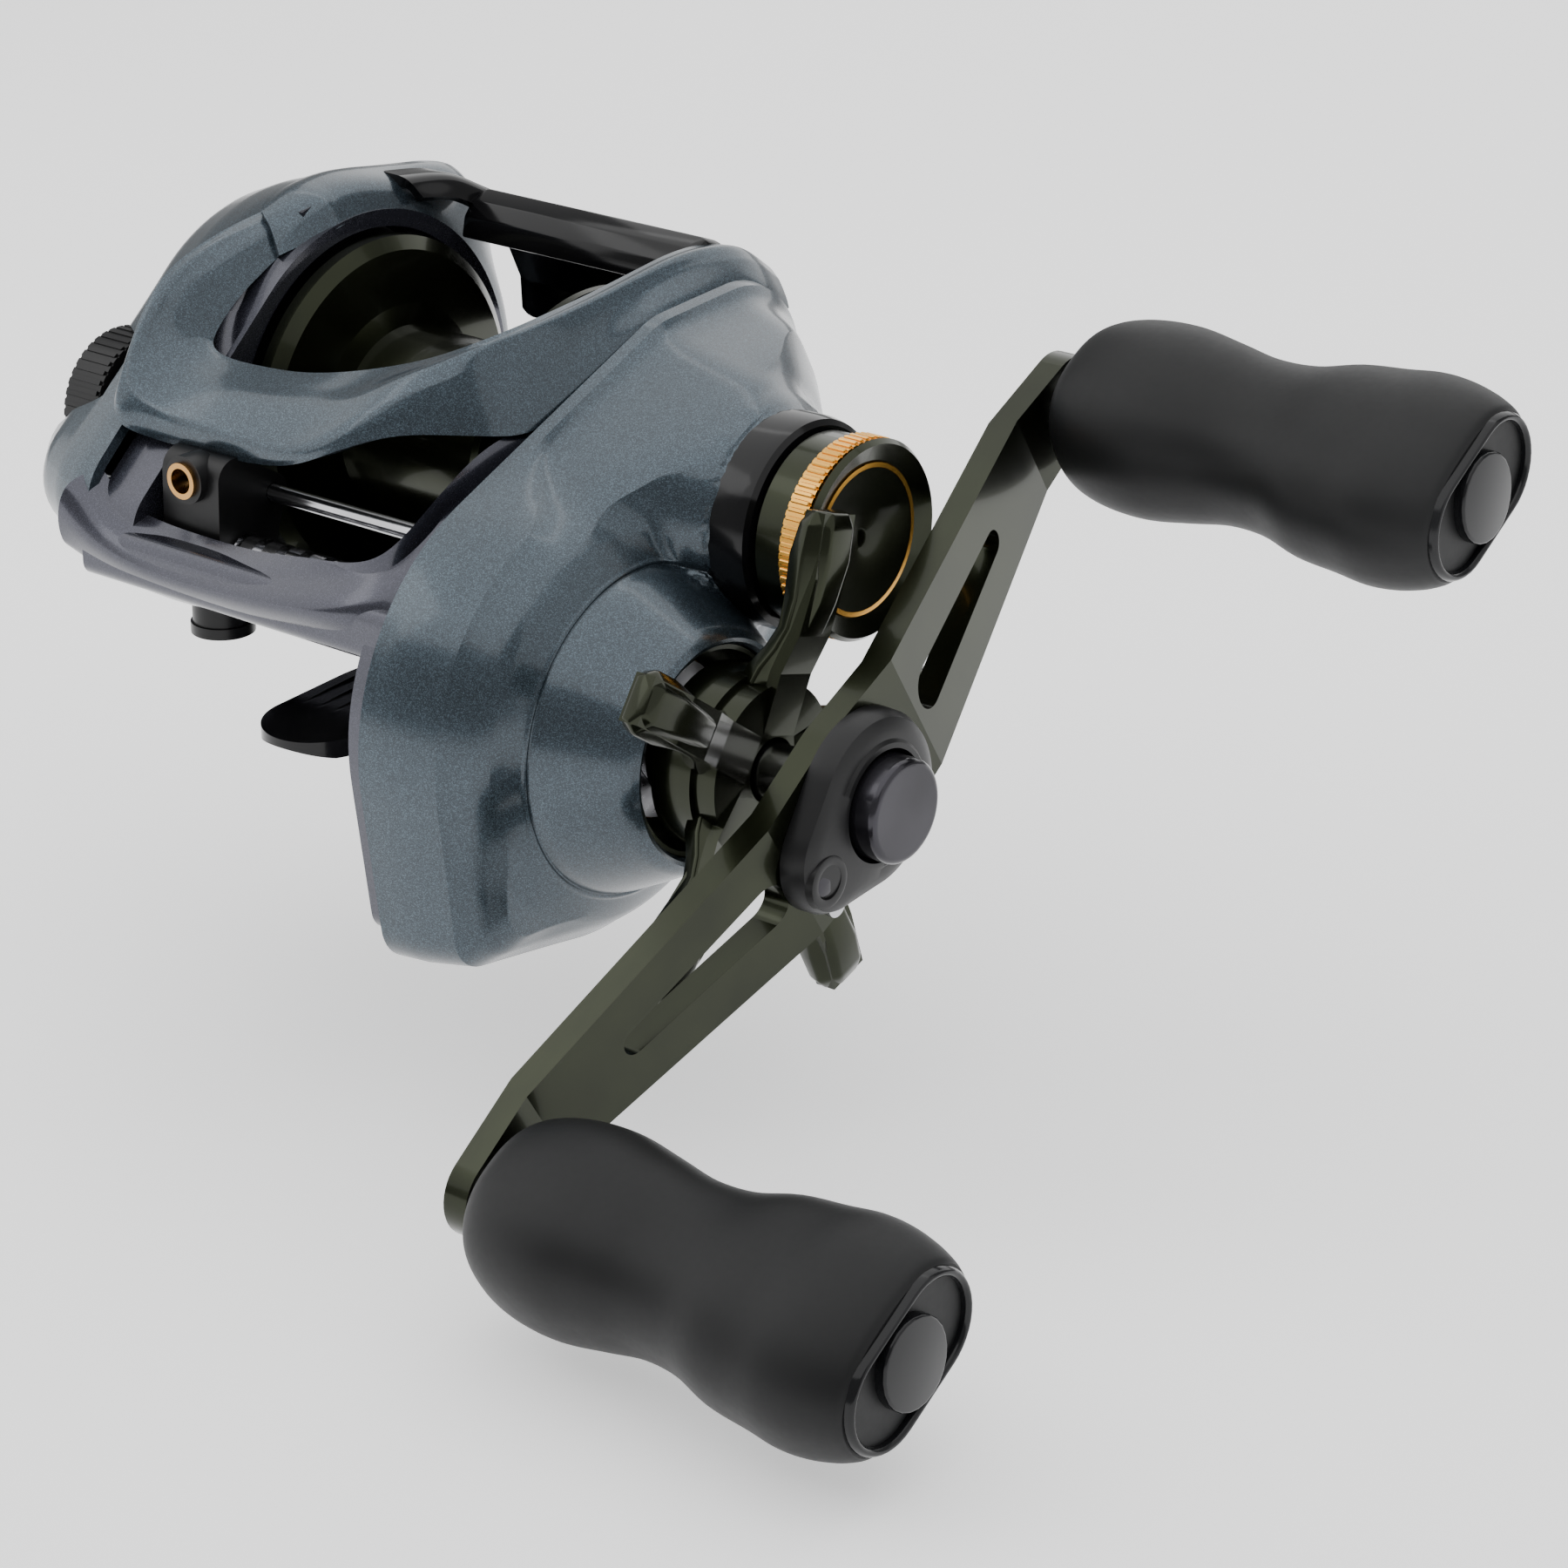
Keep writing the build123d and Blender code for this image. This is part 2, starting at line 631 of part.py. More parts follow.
# thumb bar between the side frames, and the sliding plate that it drives behind the wall
with BuildPart() as thumb_bar:
    with BuildSketch(across(-14.4)):
        with BuildLine():
            Polyline(
                (11.6, 35.9), (12.2, 38.4), (14.6, 40.0), (18.6, 37.6), (18.2, 35.9),
                (15.4, 35.2), close=True,
            )
        make_face()
    extrude(amount=27.4)
    chamfer(thumb_bar.edges().filter_by(Axis.X), 0.3)
save(thumb_bar, "thumb_bar")

PLATE_X = 17.7
TONGUE = [(9.6, 28.4), (12.4, 28.4), (12.4, 26.4), (9.6, 26.4)]
with BuildPart() as clutch_plate:
    with BuildSketch(across(PLATE_X)):
        with BuildLine():
            Polyline(
                (3.8, 28.2), (11.6, 28.2), (12.4, 24.4), (11.2, 17.6), (5.0, 13.0),
                (-1.0, 13.0), (-4.0, 14.8), (-4.0, 17.8), (3.9, 17.8), close=True,
            )
        make_face()
        # room for the yoke's lower post as the plate slides
        with Locations(yoke_posts_at[0]):
            with Locations((0, 0), (-0.7, 1.3), (-1.4, 2.5), (-2.0, 3.5)):
                Circle(1.25, mode=Mode.SUBTRACT)
    extrude(amount=1.0)
    # tongue through the wall, and the link up to the bar beside the spool
    with BuildSketch(across(13.15)):
        with BuildLine():
            Polyline(*TONGUE, close=True)
        make_face()
    extrude(amount=PLATE_X + 0.5 - 13.15)
    with BuildSketch(across(13.15)):
        with BuildLine():
            Polyline((9.6, 26.4), (12.4, 26.4), (16.8, 36.2), (13.2, 36.2), (9.6, 28.4), close=True)
        make_face()
    extrude(amount=1.0)
save(clutch_plate, "clutch_plate")

# ---------------------------------------------------------------- drive train on the handle axis
drive_shaft = turned(
    DRIVE_AXIS,
    [
        (14.9, 0), (14.9, DRIVE_SHAFT_RADIUS), (19.0, DRIVE_SHAFT_RADIUS), (19.0, 6.0),
        (19.5, 6.0), (19.5, DRIVE_SHAFT_RADIUS), (50.8, DRIVE_SHAFT_RADIUS), (50.8, 2.2),
        (57.6, 2.2), (57.6, 0),
    ],
)
save(drive_shaft, "drive_shaft")
save(
    ball_bearing(DRIVE_AXIS, 14.9, 17.2, DRIVE_SHAFT_RADIUS + RUNNING, 5.0),
    "drive_shaft_bearing",
)

with BuildPart() as drive_gear:
    with BuildSketch(across(GEAR_X)):
        with BuildLine():
            Polyline(
                *gear_points(DRIVE_AXIS, DRIVE_TEETH, DRIVE_MODULE, GEAR_LINE_ANGLE), close=True
            )
        make_face()
        with Locations(DRIVE_AXIS):
            Circle(DRIVE_SHAFT_RADIUS, mode=Mode.SUBTRACT)
    extrude(amount=4.0)
    with BuildSketch(across(GEAR_X + 1.2)):
        with Locations(DRIVE_AXIS):
            Circle(13.6)
    extrude(amount=2.8, mode=Mode.SUBTRACT)
    # lightening holes through the web between the drag seat and the teeth
    with BuildSketch(across(GEAR_X)):
        with Locations(DRIVE_AXIS):
            with PolarLocations(16.0, 12):
                Circle(1.1)
    extrude(amount=4.0, mode=Mode.SUBTRACT)
save(drive_gear, "drive_gear")

with BuildPart() as idle_gear:
    with BuildSketch(across(17.7)):
        with BuildLine():
            Polyline(
                *gear_points(DRIVE_AXIS, IDLE_TEETH, WORM_MODULE, WORM_LINE_ANGLE), close=True
            )
        make_face()
        with Locations(DRIVE_AXIS):
            Circle(DRIVE_SHAFT_RADIUS, mode=Mode.SUBTRACT)
    extrude(amount=1.2)
save(idle_gear, "idle_gear")

with BuildPart() as drag_washers:
    for washer_start_x in (20.85, 22.65):
        add(washer(DRIVE_AXIS, washer_start_x, washer_start_x + 0.9, 2.6, 13.3).part)
save(drag_washers, "drag_washers")
save(washer(DRIVE_AXIS, 21.8, 22.6, 2.55, 13.0), "key_washer")

RATCHET_TEETH = 10
with BuildPart() as ratchet:
    with BuildSketch(across(23.65)):
        with Locations(DRIVE_AXIS):
            Circle(11.4)
            with PolarLocations(11.6, RATCHET_TEETH):
                Rectangle(1.6, 2.6, mode=Mode.SUBTRACT)
            Circle(2.55, mode=Mode.SUBTRACT)
    extrude(amount=1.2)
save(ratchet, "ratchet")

save(washer(DRIVE_AXIS, 24.9, 34.6, 2.55, 4.0), "clutch_sleeve")
one_way_clutch = turned(
    DRIVE_AXIS,
    [(26.8, 4.05), (26.8, 5.0), (27.0, 5.0), (27.0, 6.2), (26.8, 6.2), (26.8, 7.0),
     (33.4, 7.0), (33.4, 4.05)],
)
save(one_way_clutch, "one_way_clutch")
drag_springs = turned(
    DRIVE_AXIS,
    [(34.7, 2.6), (35.3, 5.2), (35.9, 5.2), (35.3, 2.6)],
)
with BuildPart() as drag_spring_washers:
    add(drag_springs.part)
    mirror(about=across(35.95))
save(drag_spring_washers, "drag_spring_washers")
save(washer(DRIVE_AXIS, 37.3, 38.1, 2.55, 6.4), "star_click_ring")

# ---------------------------------------------------------------- star drag
with BuildPart() as star_nut:
    with BuildSketch(across(38.2)):
        with Locations(DRIVE_AXIS):
            RegularPolygon(4.2, 6)
            Circle(DRIVE_SHAFT_RADIUS + 0.08, mode=Mode.SUBTRACT)
    extrude(amount=3.2)
save(star_nut, "star_nut")

with BuildPart() as star_drag:
    with BuildSketch(across(41.5)):
        with Locations(DRIVE_AXIS):
            Circle(7.6)
    extrude(amount=3.4)
    for arm in range(STAR_ARMS):
        turn = radians(STAR_ANGLE + 360 * arm / STAR_ARMS)
        outward = Vector(0, cos(turn), sin(turn))
        arm_plane = Plane(
            origin=(0, *DRIVE_AXIS), x_dir=(1, 0, 0), z_dir=Vector(1, 0, 0).cross(outward)
        )
        with BuildSketch(arm_plane):
            with BuildLine():
                Polyline(
                    (41.6, 3.0), (44.9, 3.0), (45.6, 8.5), (46.8, 12.0), (47.4, 17.0),
                    (47.2, STAR_REACH), (45.2, STAR_REACH), (44.6, 17.4), (44.5, 11.8),
                    (42.6, 8.8), (41.6, 7.0), close=True,
                )
            make_face()
        extrude(amount=2.1, both=True)
    # drum that fills the boss's recess behind the arms
    with BuildSketch(across(STAR_DRUM_X)):
        with Locations(DRIVE_AXIS):
            Circle(STAR_DRUM_RADIUS)
            Circle(STAR_DRUM_RADIUS - 1.6, mode=Mode.SUBTRACT)
    extrude(amount=4.2)
    with BuildSketch(across(41.5)):
        with Locations(DRIVE_AXIS):
            Circle(STAR_DRUM_RADIUS)
    extrude(amount=1.1)
    with BuildSketch(across(41.0)):
        with Locations(DRIVE_AXIS):
            Circle(DRIVE_SHAFT_RADIUS + 0.4)
    extrude(amount=8.0, mode=Mode.SUBTRACT)
save(star_drag, "star_drag")

# ---------------------------------------------------------------- handle
ARM_THICKNESS = 2.4
ARM_END_FACE_X = 47.9
with BuildPart() as handle_arm:
    with BuildSketch(on_handle(40.0)):
        Circle(7.6)
        with Locations((HANDLE_RADIUS, 0)):
            Circle(3.9)
        with Locations((-HANDLE_RADIUS, 0)):
            Circle(3.9)
        make_hull()
        Circle(2.2, mode=Mode.SUBTRACT)
    extrude(amount=18.0)
    # tapered slot through each arm
    for side in (-1, 1):
        with BuildSketch(on_handle(40.0)):
            with Locations((side * 12.6, 0)):
                Circle(2.1)
            with Locations((side * 28.0, 0)):
                Circle(1.2)
            make_hull()
        extrude(amount=18.0, mode=Mode.SUBTRACT)
    # cranked side view: hub stands proud, arms lean in towards the body
    with BuildSketch(handle_side()):
        with BuildLine():
            Polyline(
                (HUB_FACE_X, -9.5), (HUB_FACE_X, 9.5), (ARM_END_FACE_X, 38.0),
                (ARM_END_FACE_X, 52.0), (ARM_END_FACE_X - ARM_THICKNESS, 52.0),
                (ARM_END_FACE_X - ARM_THICKNESS, 37.0), (HUB_FACE_X - ARM_THICKNESS, 8.5),
                (HUB_FACE_X - ARM_THICKNESS, -8.5), (ARM_END_FACE_X - ARM_THICKNESS, -37.0),
                (ARM_END_FACE_X - ARM_THICKNESS, -52.0), (ARM_END_FACE_X, -52.0),
                (ARM_END_FACE_X, -38.0), close=True,
            )
        make_face()
    extrude(amount=12.0, both=True, mode=Mode.INTERSECT)
    # holes for the knob spindles
    with BuildSketch(on_handle(40.0)):
        with Locations((HANDLE_RADIUS, 0), (-HANDLE_RADIUS, 0)):
            Circle(1.6)
    extrude(amount=18.0, mode=Mode.SUBTRACT)
save(handle_arm, "handle_arm")

RETAINER_SCREW_AT = (-8.0, -4.2)
with BuildPart() as nut_retainer:
    with BuildSketch(on_handle(HUB_FACE_X)):
        Circle(7.9)
        with Locations((-5.2, -2.8)):
            Circle(5.0)
        make_hull()
        Circle(4.7, mode=Mode.SUBTRACT)
        with Locations(RETAINER_SCREW_AT):
            Circle(1.1, mode=Mode.SUBTRACT)
    extrude(amount=2.6)
save(nut_retainer, "nut_retainer")

with BuildPart() as handle_nut:
    with BuildSketch(across(HUB_FACE_X)):
        with Locations(DRIVE_AXIS):
            Circle(4.55)
    extrude(amount=5.3)
    fillet(handle_nut.edges().filter_by(GeomType.CIRCLE).sort_by(Axis.X)[-1], 0.6)
    with BuildSketch(across(HUB_FACE_X)):
        with Locations(DRIVE_AXIS):
            Circle(2.2)
    extrude(amount=3.7, mode=Mode.SUBTRACT)
save(handle_nut, "handle_nut")

with BuildPart() as retainer_screw:
    with BuildSketch(on_handle(HUB_FACE_X)):
        with Locations(RETAINER_SCREW_AT):
            Circle(1.1)
    extrude(amount=1.6)
save(retainer_screw, "retainer_screw")

# ---------------------------------------------------------------- knobs
# Half heights and half widths of the grip's oval sections, as (x, half_height, half_width)
KNOB_SECTIONS = [
    (49.4, 4.6, 4.6), (51.4, 7.2, 6.7), (55.6, 8.4, 7.4), (60.5, 8.4, 7.2), (67.0, 7.4, 6.4),
    (75.0, 8.8, 6.8), (82.0, 10.2, 7.6), (87.6, 9.4, 6.6), (90.0, 7.6, 5.2),
]
with BuildPart() as knob_spindles:
    with BuildSketch(across(ARM_END_FACE_X - ARM_THICKNESS)):
        with Locations(knob_axis(1), knob_axis(-1)):
            Circle(1.6)
    extrude(amount=86.0 - ARM_END_FACE_X + ARM_THICKNESS)
    with BuildSketch(across(ARM_END_FACE_X)):
        with Locations(knob_axis(1), knob_axis(-1)):
            Circle(3.2)
    extrude(amount=1.2)
save(knob_spindles, "knob_spindles")

for knob_name, knob_side in (("knob_a", 1), ("knob_b", -1)):
    axis = knob_axis(knob_side)
    with BuildPart() as knob_grip:
        for section_x, half_height, half_width in KNOB_SECTIONS:
            with BuildSketch(across(section_x)):
                with Locations(axis):
                    Ellipse(half_height, half_width, rotation=HANDLE_ANGLE)
        loft()
        with BuildSketch(beside(axis)):
            with BuildLine():
                Polyline(
                    (49.0, 0), (49.0, 3.2), (52.0, 3.2), (52.0, 2.0), (82.4, 2.0), (82.4, 3.2),
                    (86.2, 3.2), (86.2, 4.4), (91.0, 4.4), (91.0, 0), close=True,
                )
            make_face()
        revolve(axis=along(axis), mode=Mode.SUBTRACT)
    save(knob_grip, knob_name + "_grip")

    with BuildPart() as knob_bearings:
        for bearing_x in (49.8, 82.6):
            with BuildSketch(across(bearing_x)):
                with Locations(axis):
                    Circle(3.2)
                    Circle(1.6 + RUNNING, mode=Mode.SUBTRACT)
            extrude(amount=2.0)
    save(knob_bearings, knob_name + "_bearings")

    with BuildPart() as knob_cap:
        with BuildSketch(across(87.4)):
            with Locations(axis):
                Circle(4.4)
        extrude(amount=KNOB_END_X - 87.4)
        fillet(knob_cap.edges().filter_by(GeomType.CIRCLE).sort_by(Axis.X)[-1], 1.6)
    save(knob_cap, knob_name + "_cap")

# ---------------------------------------------------------------- cast control
cast_control_cap = turned(
    SPOOL_AXIS,
    [
        (38.1, 7.1), (38.1, 8.5), (40.8, 8.5), (40.8, 7.9), (43.1, 7.9), (43.1, 8.6), (43.5, 8.9),
        (44.0, 8.5), (43.2, 6.8), (42.9, 6.8), (42.9, 6.3), (43.3, 6.3), (42.4, 0.0),
        (37.6, 0.0), (37.6, 2.1), (41.0, 2.1), (41.0, 7.1),
    ],
)
save(cast_control_cap, "cast_control_cap")

RING_TEETH = 72
with BuildPart() as cast_control_ring:
    with BuildSketch(across(40.85)):
        with Locations(SPOOL_AXIS):
            Circle(8.75)
            Circle(7.9, mode=Mode.SUBTRACT)
            with PolarLocations(8.8, RING_TEETH):
                Circle(0.16, mode=Mode.SUBTRACT)
    extrude(amount=2.2)
save(cast_control_ring, "cast_control_ring")
save(washer(SPOOL_AXIS, 42.92, 43.35, 6.35, 6.75), "cast_control_accent")
save(washer(SPOOL_AXIS, 36.7, 37.3, 0.3, 2.2), "spool_shim")

# ---------------------------------------------------------------- level wind
WORM_START_X = -18.8
worm_outline = [(WORM_START_X, 0), (WORM_START_X, 1.2), (-14.4, 1.2), (-14.4, WORM_RADIUS)]
GROOVE_PITCH = 2.6
groove_x = -12.6
while groove_x < 12.0:
    worm_outline += [
        (groove_x, WORM_RADIUS), (groove_x, 1.45), (groove_x + 1.1, 1.45),
        (groove_x + 1.1, WORM_RADIUS),
    ]
    groove_x += GROOVE_PITCH
worm_outline += [(14.2, WORM_RADIUS), (14.2, 1.2), (19.2, 1.2), (19.2, 0)]
save(turned(WORM_AXIS, worm_outline), "worm_shaft")

with BuildPart() as worm_gear:
    with BuildSketch(across(17.75)):
        with BuildLine():
            Polyline(
                *gear_points(
                    WORM_AXIS, WORM_TEETH, WORM_MODULE,
                    WORM_LINE_ANGLE + 180 + 180 / WORM_TEETH,
                ),
                close=True,
            )
        make_face()
        with Locations(WORM_AXIS):
            Circle(1.2, mode=Mode.SUBTRACT)
    extrude(amount=1.1)
save(worm_gear, "worm_gear")

with BuildPart() as worm_bushes:
    for bush_x in (-18.4, 14.7):
        with BuildSketch(across(bush_x)):
            with Locations(WORM_AXIS):
                Circle(3.2)
                Circle(1.2 + RUNNING, mode=Mode.SUBTRACT)
        extrude(amount=2.5)
save(worm_bushes, "worm_bushes")

with BuildPart() as guide_rod:
    with BuildSketch(across(-19.0)):
        with Locations(GUIDE_ROD_AXIS):
            Circle(GUIDE_ROD_RADIUS)
    extrude(amount=19.0 + WALL_OUTER_X)
save(guide_rod, "guide_rod")

CARRIAGE_WIDTH = 7.0
with BuildPart() as line_guide:
    with BuildSketch(across(GUIDE_START_X - CARRIAGE_WIDTH / 2)):
        with Locations(WORM_AXIS):
            Circle(3.3)
        with Locations(GUIDE_ROD_AXIS):
            Circle(1.75)
        with Locations((-25.6, EYELET_AXIS_Z)):
            Circle(2.0)
        make_hull()
    extrude(amount=CARRIAGE_WIDTH)
    # boss that holds the eyelet, above and in front of the rod
    with BuildSketch(Plane.XZ.offset(26.0)):
        with Locations((GUIDE_START_X, EYELET_AXIS_Z)):
            Circle(2.2)
    extrude(amount=2.4)
    with BuildSketch(Plane.XZ.offset(18.0)):
        with Locations((GUIDE_START_X, EYELET_AXIS_Z)):
            Circle(1.65)
    extrude(amount=11.0, mode=Mode.SUBTRACT)
    # socket for the pawl and its cap below the worm
    with BuildSketch(Plane.XY.offset(9.2)):
        with Locations((GUIDE_START_X, WORM_AXIS[0])):
            Circle(2.7)
    extrude(amount=4.6)
    with BuildSketch(Plane.XY.offset(9.2)):
        with Locations((GUIDE_START_X, WORM_AXIS[0])):
            Circle(1.3)
    extrude(amount=5.0, mode=Mode.SUBTRACT)
    with BuildSketch(across(GUIDE_START_X - CARRIAGE_WIDTH)):
        with Locations(GUIDE_ROD_AXIS):
            Circle(GUIDE_ROD_RADIUS + RUNNING)
        with Locations(WORM_AXIS):
            Circle(WORM_RADIUS + RUNNING)
    extrude(amount=2 * CARRIAGE_WIDTH, mode=Mode.SUBTRACT)
save(line_guide, "line_guide")

with BuildPart() as guide_eyelet:
    with BuildSketch(Plane.XZ.offset(26.2)):
        with Locations((GUIDE_START_X, EYELET_AXIS_Z)):
            Circle(1.65)
            Circle(EYELET_RADIUS, mode=Mode.SUBTRACT)
    extrude(amount=2.6)
save(guide_eyelet, "guide_eyelet")

with BuildPart() as guide_pawl:
    with BuildSketch(Plane.XY.offset(9.9)):
        with Locations((GUIDE_START_X, WORM_AXIS[0])):
            Circle(1.2)
    extrude(amount=3.9)
save(guide_pawl, "guide_pawl")

with BuildPart() as pawl_cap:
    with BuildSketch(Plane.XY.offset(8.2)):
        with Locations((GUIDE_START_X, WORM_AXIS[0])):
            Circle(2.9)
    extrude(amount=1.0)
    with BuildSketch(Plane.XY.offset(8.2)):
        with Locations((GUIDE_START_X, WORM_AXIS[0])):
            Rectangle(4.0, 0.7)
    extrude(amount=0.5, mode=Mode.SUBTRACT)
save(pawl_cap, "pawl_cap")
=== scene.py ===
"""Visual model of a baitcasting reel, built round its CAD frame. Laid out as a Blender add-on."""

import json
import math

import bmesh
import bpy
import numpy as np
from mathutils import Matrix, Vector


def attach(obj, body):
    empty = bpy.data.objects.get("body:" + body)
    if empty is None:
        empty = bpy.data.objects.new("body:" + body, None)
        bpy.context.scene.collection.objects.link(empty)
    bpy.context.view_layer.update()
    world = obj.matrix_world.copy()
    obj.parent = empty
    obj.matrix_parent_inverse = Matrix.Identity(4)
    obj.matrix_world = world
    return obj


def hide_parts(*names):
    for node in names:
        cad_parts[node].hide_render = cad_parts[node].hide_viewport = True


bl_info = {
    "name": "Baitcasting reel",
    "version": (1, 0, 0),
    "blender": (4, 5, 0),
    "location": "View3D > Sidebar > Reel",
    "description": "Builds the visual model of a baitcasting reel round its CAD frame",
    "category": "Object",
}

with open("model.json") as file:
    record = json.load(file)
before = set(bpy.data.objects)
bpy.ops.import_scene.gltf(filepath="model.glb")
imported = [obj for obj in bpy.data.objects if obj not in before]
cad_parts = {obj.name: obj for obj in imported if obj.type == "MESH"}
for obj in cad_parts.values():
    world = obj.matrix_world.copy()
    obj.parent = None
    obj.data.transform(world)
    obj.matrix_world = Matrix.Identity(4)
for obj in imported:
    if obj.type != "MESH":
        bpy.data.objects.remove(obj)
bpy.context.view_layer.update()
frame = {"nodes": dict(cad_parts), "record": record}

MM = 0.001
SPOOL = (0.0, 22.0)
DRIVE = (-14.587, 5.799)
DIAL = (-17.4, 24.0)
HANDLE_TILT = math.radians(31.9)
HANDLE_REACH = 45.0


# ---------------------------------------------------------------- shader building
class Maths:
    """A shader socket that can be used in ordinary sums."""

    def __init__(self, shade, socket):
        self.shade = shade
        self.socket = socket

    def _with(self, operation, other, swap=False):
        node = self.shade.tree.nodes.new("ShaderNodeMath")
        node.operation = operation
        for at, value in zip((1, 0) if swap else (0, 1), (self, other)):
            if isinstance(value, Maths):
                self.shade.tree.links.new(value.socket, node.inputs[at])
            else:
                node.inputs[at].default_value = value
        return Maths(self.shade, node.outputs[0])

    def __add__(self, other):
        return self._with("ADD", other)

    __radd__ = __add__

    def __mul__(self, other):
        return self._with("MULTIPLY", other)

    __rmul__ = __mul__

    def __sub__(self, other):
        return self._with("SUBTRACT", other)

    def __rsub__(self, other):
        return self._with("SUBTRACT", other, swap=True)

    def __pow__(self, other):
        return self._with("POWER", other)

    def remap(self, low, high, new_low=0.0, new_high=1.0):
        out = self.shade.add(
            "ShaderNodeMapRange",
            {"clamp": True},
            {
                "Value": self, "From Min": low, "From Max": high,
                "To Min": new_low, "To Max": new_high,
            },
        )
        return Maths(self.shade, out.outputs["Result"])


class Shade:
    """One material being built: a Principled shader and the nodes that feed it."""

    def __init__(self, name):
        self.material = bpy.data.materials.new(name)
        self.material.use_nodes = True
        self.tree = self.material.node_tree
        self.shader = self.tree.nodes["Principled BSDF"]
        self.place = self.add("ShaderNodeTexCoord").outputs["Object"]

    def add(self, kind, settings=None, inputs=None):
        node = self.tree.nodes.new(kind)
        for key, value in (settings or {}).items():
            setattr(node, key, value)
        for key, value in (inputs or {}).items():
            if isinstance(value, Maths):
                self.tree.links.new(value.socket, node.inputs[key])
            elif isinstance(value, bpy.types.NodeSocket):
                self.tree.links.new(value, node.inputs[key])
            else:
                node.inputs[key].default_value = value
        return node

    def noise(self, scale, detail=2.0, rough=0.5, stretch=(1.0, 1.0, 1.0)):
        spot = self.add("ShaderNodeMapping", {}, {"Vector": self.place, "Scale": stretch})
        out = self.add(
            "ShaderNodeTexNoise",
            {},
            {"Vector": spot.outputs[0], "Scale": scale, "Detail": detail, "Roughness": rough},
        )
        return Maths(self, out.outputs["Fac"])

    def cells(self, scale):
        out = self.add("ShaderNodeTexVoronoi", {}, {"Vector": self.place, "Scale": scale})
        split = self.add("ShaderNodeSeparateColor", {}, {"Color": out.outputs["Color"]})
        return Maths(self, split.outputs[0]), Maths(self, out.outputs["Distance"])

    def blend(self, share, one, other):
        out = self.add("ShaderNodeMix", {"data_type": "RGBA"}, {"Factor": share})
        for key, value in ((6, one), (7, other)):
            if isinstance(value, bpy.types.NodeSocket):
                self.tree.links.new(value, out.inputs[key])
            else:
                out.inputs[key].default_value = (*value, 1.0)
        return out.outputs[2]

    def bump(self, height, distance, strength=1.0):
        out = self.add(
            "ShaderNodeBump", {}, {"Height": height, "Distance": distance, "Strength": strength}
        )
        self.tree.links.new(out.outputs[0], self.shader.inputs["Normal"])

    def feed(self, **values):
        for key, value in values.items():
            key = key.replace("_", " ")
            socket = self.shader.inputs[key]
            if isinstance(value, Maths):
                self.tree.links.new(value.socket, socket)
            elif isinstance(value, bpy.types.NodeSocket):
                self.tree.links.new(value, socket)
            else:
                socket.default_value = value
        return self.material


def flake_paint(name, base, light, rough):
    """Metallic paint: fine flakes and slow colour drift under a satin clear coat."""
    s = Shade(name)
    flake, _ = s.cells(14000.0)
    drift = s.noise(60.0, 3.0)
    share = (flake ** 3.0) * 0.6 + drift * 0.14 + 0.05
    s.bump(s.noise(2200.0, 2.0), 0.000006, 0.5)
    return s.feed(
        Base_Color=s.blend(share, base, light),
        Metallic=0.72,
        Roughness=rough + (flake - 0.5) * 0.08 + (drift - 0.5) * 0.04,
        Coat_Weight=0.6,
        Coat_Roughness=0.12,
    )


def anodised(name, base, light, rough, metallic=0.9):
    """Gloss anodised metal: faint tooling lines and handling marks."""
    s = Shade(name)
    drift = s.noise(90.0, 3.0)
    fine = s.noise(1500.0, 2.0, stretch=(1.0, 0.25, 0.25))
    s.bump(fine, 0.000005, 0.4)
    return s.feed(
        Base_Color=s.blend(drift.remap(0.3, 0.7), base, light),
        Metallic=metallic,
        Roughness=rough + (drift - 0.5) * 0.10 + (fine - 0.5) * 0.06,
        Coat_Weight=0.25,
        Coat_Roughness=0.08,
    )


def metal(name, base, rough, lines=(1.0, 1.0, 1.0)):
    """Bare metal, turned or ground: grain along one direction, a little staining."""
    s = Shade(name)
    grain = s.noise(1800.0, 3.0, stretch=lines)
    stain = s.noise(120.0, 4.0)
    dark = tuple(0.72 * c for c in base)
    s.bump(grain, 0.000008, 0.5)
    return s.feed(
        Base_Color=s.blend(stain.remap(0.35, 0.75), base, dark),
        Metallic=1.0,
        Roughness=rough + (grain - 0.5) * 0.16 + (stain - 0.5) * 0.08,
    )


def moulding(name, base, rough, grain_size=1200.0, depth=0.00001):
    """Moulded plastic or rubber: fine grain, uneven sheen."""
    s = Shade(name)
    grain = s.noise(grain_size, 3.0)
    drift = s.noise(70.0, 2.0)
    light = tuple(min(1.0, 1.35 * c + 0.004) for c in base)
    s.bump(grain, depth, 0.6)
    return s.feed(
        Base_Color=s.blend(drift.remap(0.35, 0.7), base, light),
        Roughness=rough + (drift - 0.5) * 0.12 + (grain - 0.5) * 0.08,
        Specular_IOR_Level=0.3,
    )


# ---------------------------------------------------------------- mesh building
def new_piece(name, points, faces, material, smooth=35.0):
    """A mesh piece from points in millimetres; edges under the smooth angle shade smoothly."""
    mesh = bpy.data.meshes.new(name)
    mesh.from_pydata([tuple(p * MM for p in q) for q in points], [], faces)
    mesh.validate()
    piece = bpy.data.objects.new(name, mesh)
    bpy.context.scene.collection.objects.link(piece)
    mesh.materials.append(material)
    soften(piece, smooth)
    return piece


def soften(piece, angle):
    work = bmesh.new()
    work.from_mesh(piece.data)
    bmesh.ops.recalc_face_normals(work, faces=work.faces)
    work.to_mesh(piece.data)
    work.free()
    piece.data.shade_smooth()
    piece.data.set_sharp_from_angle(angle=math.radians(angle))


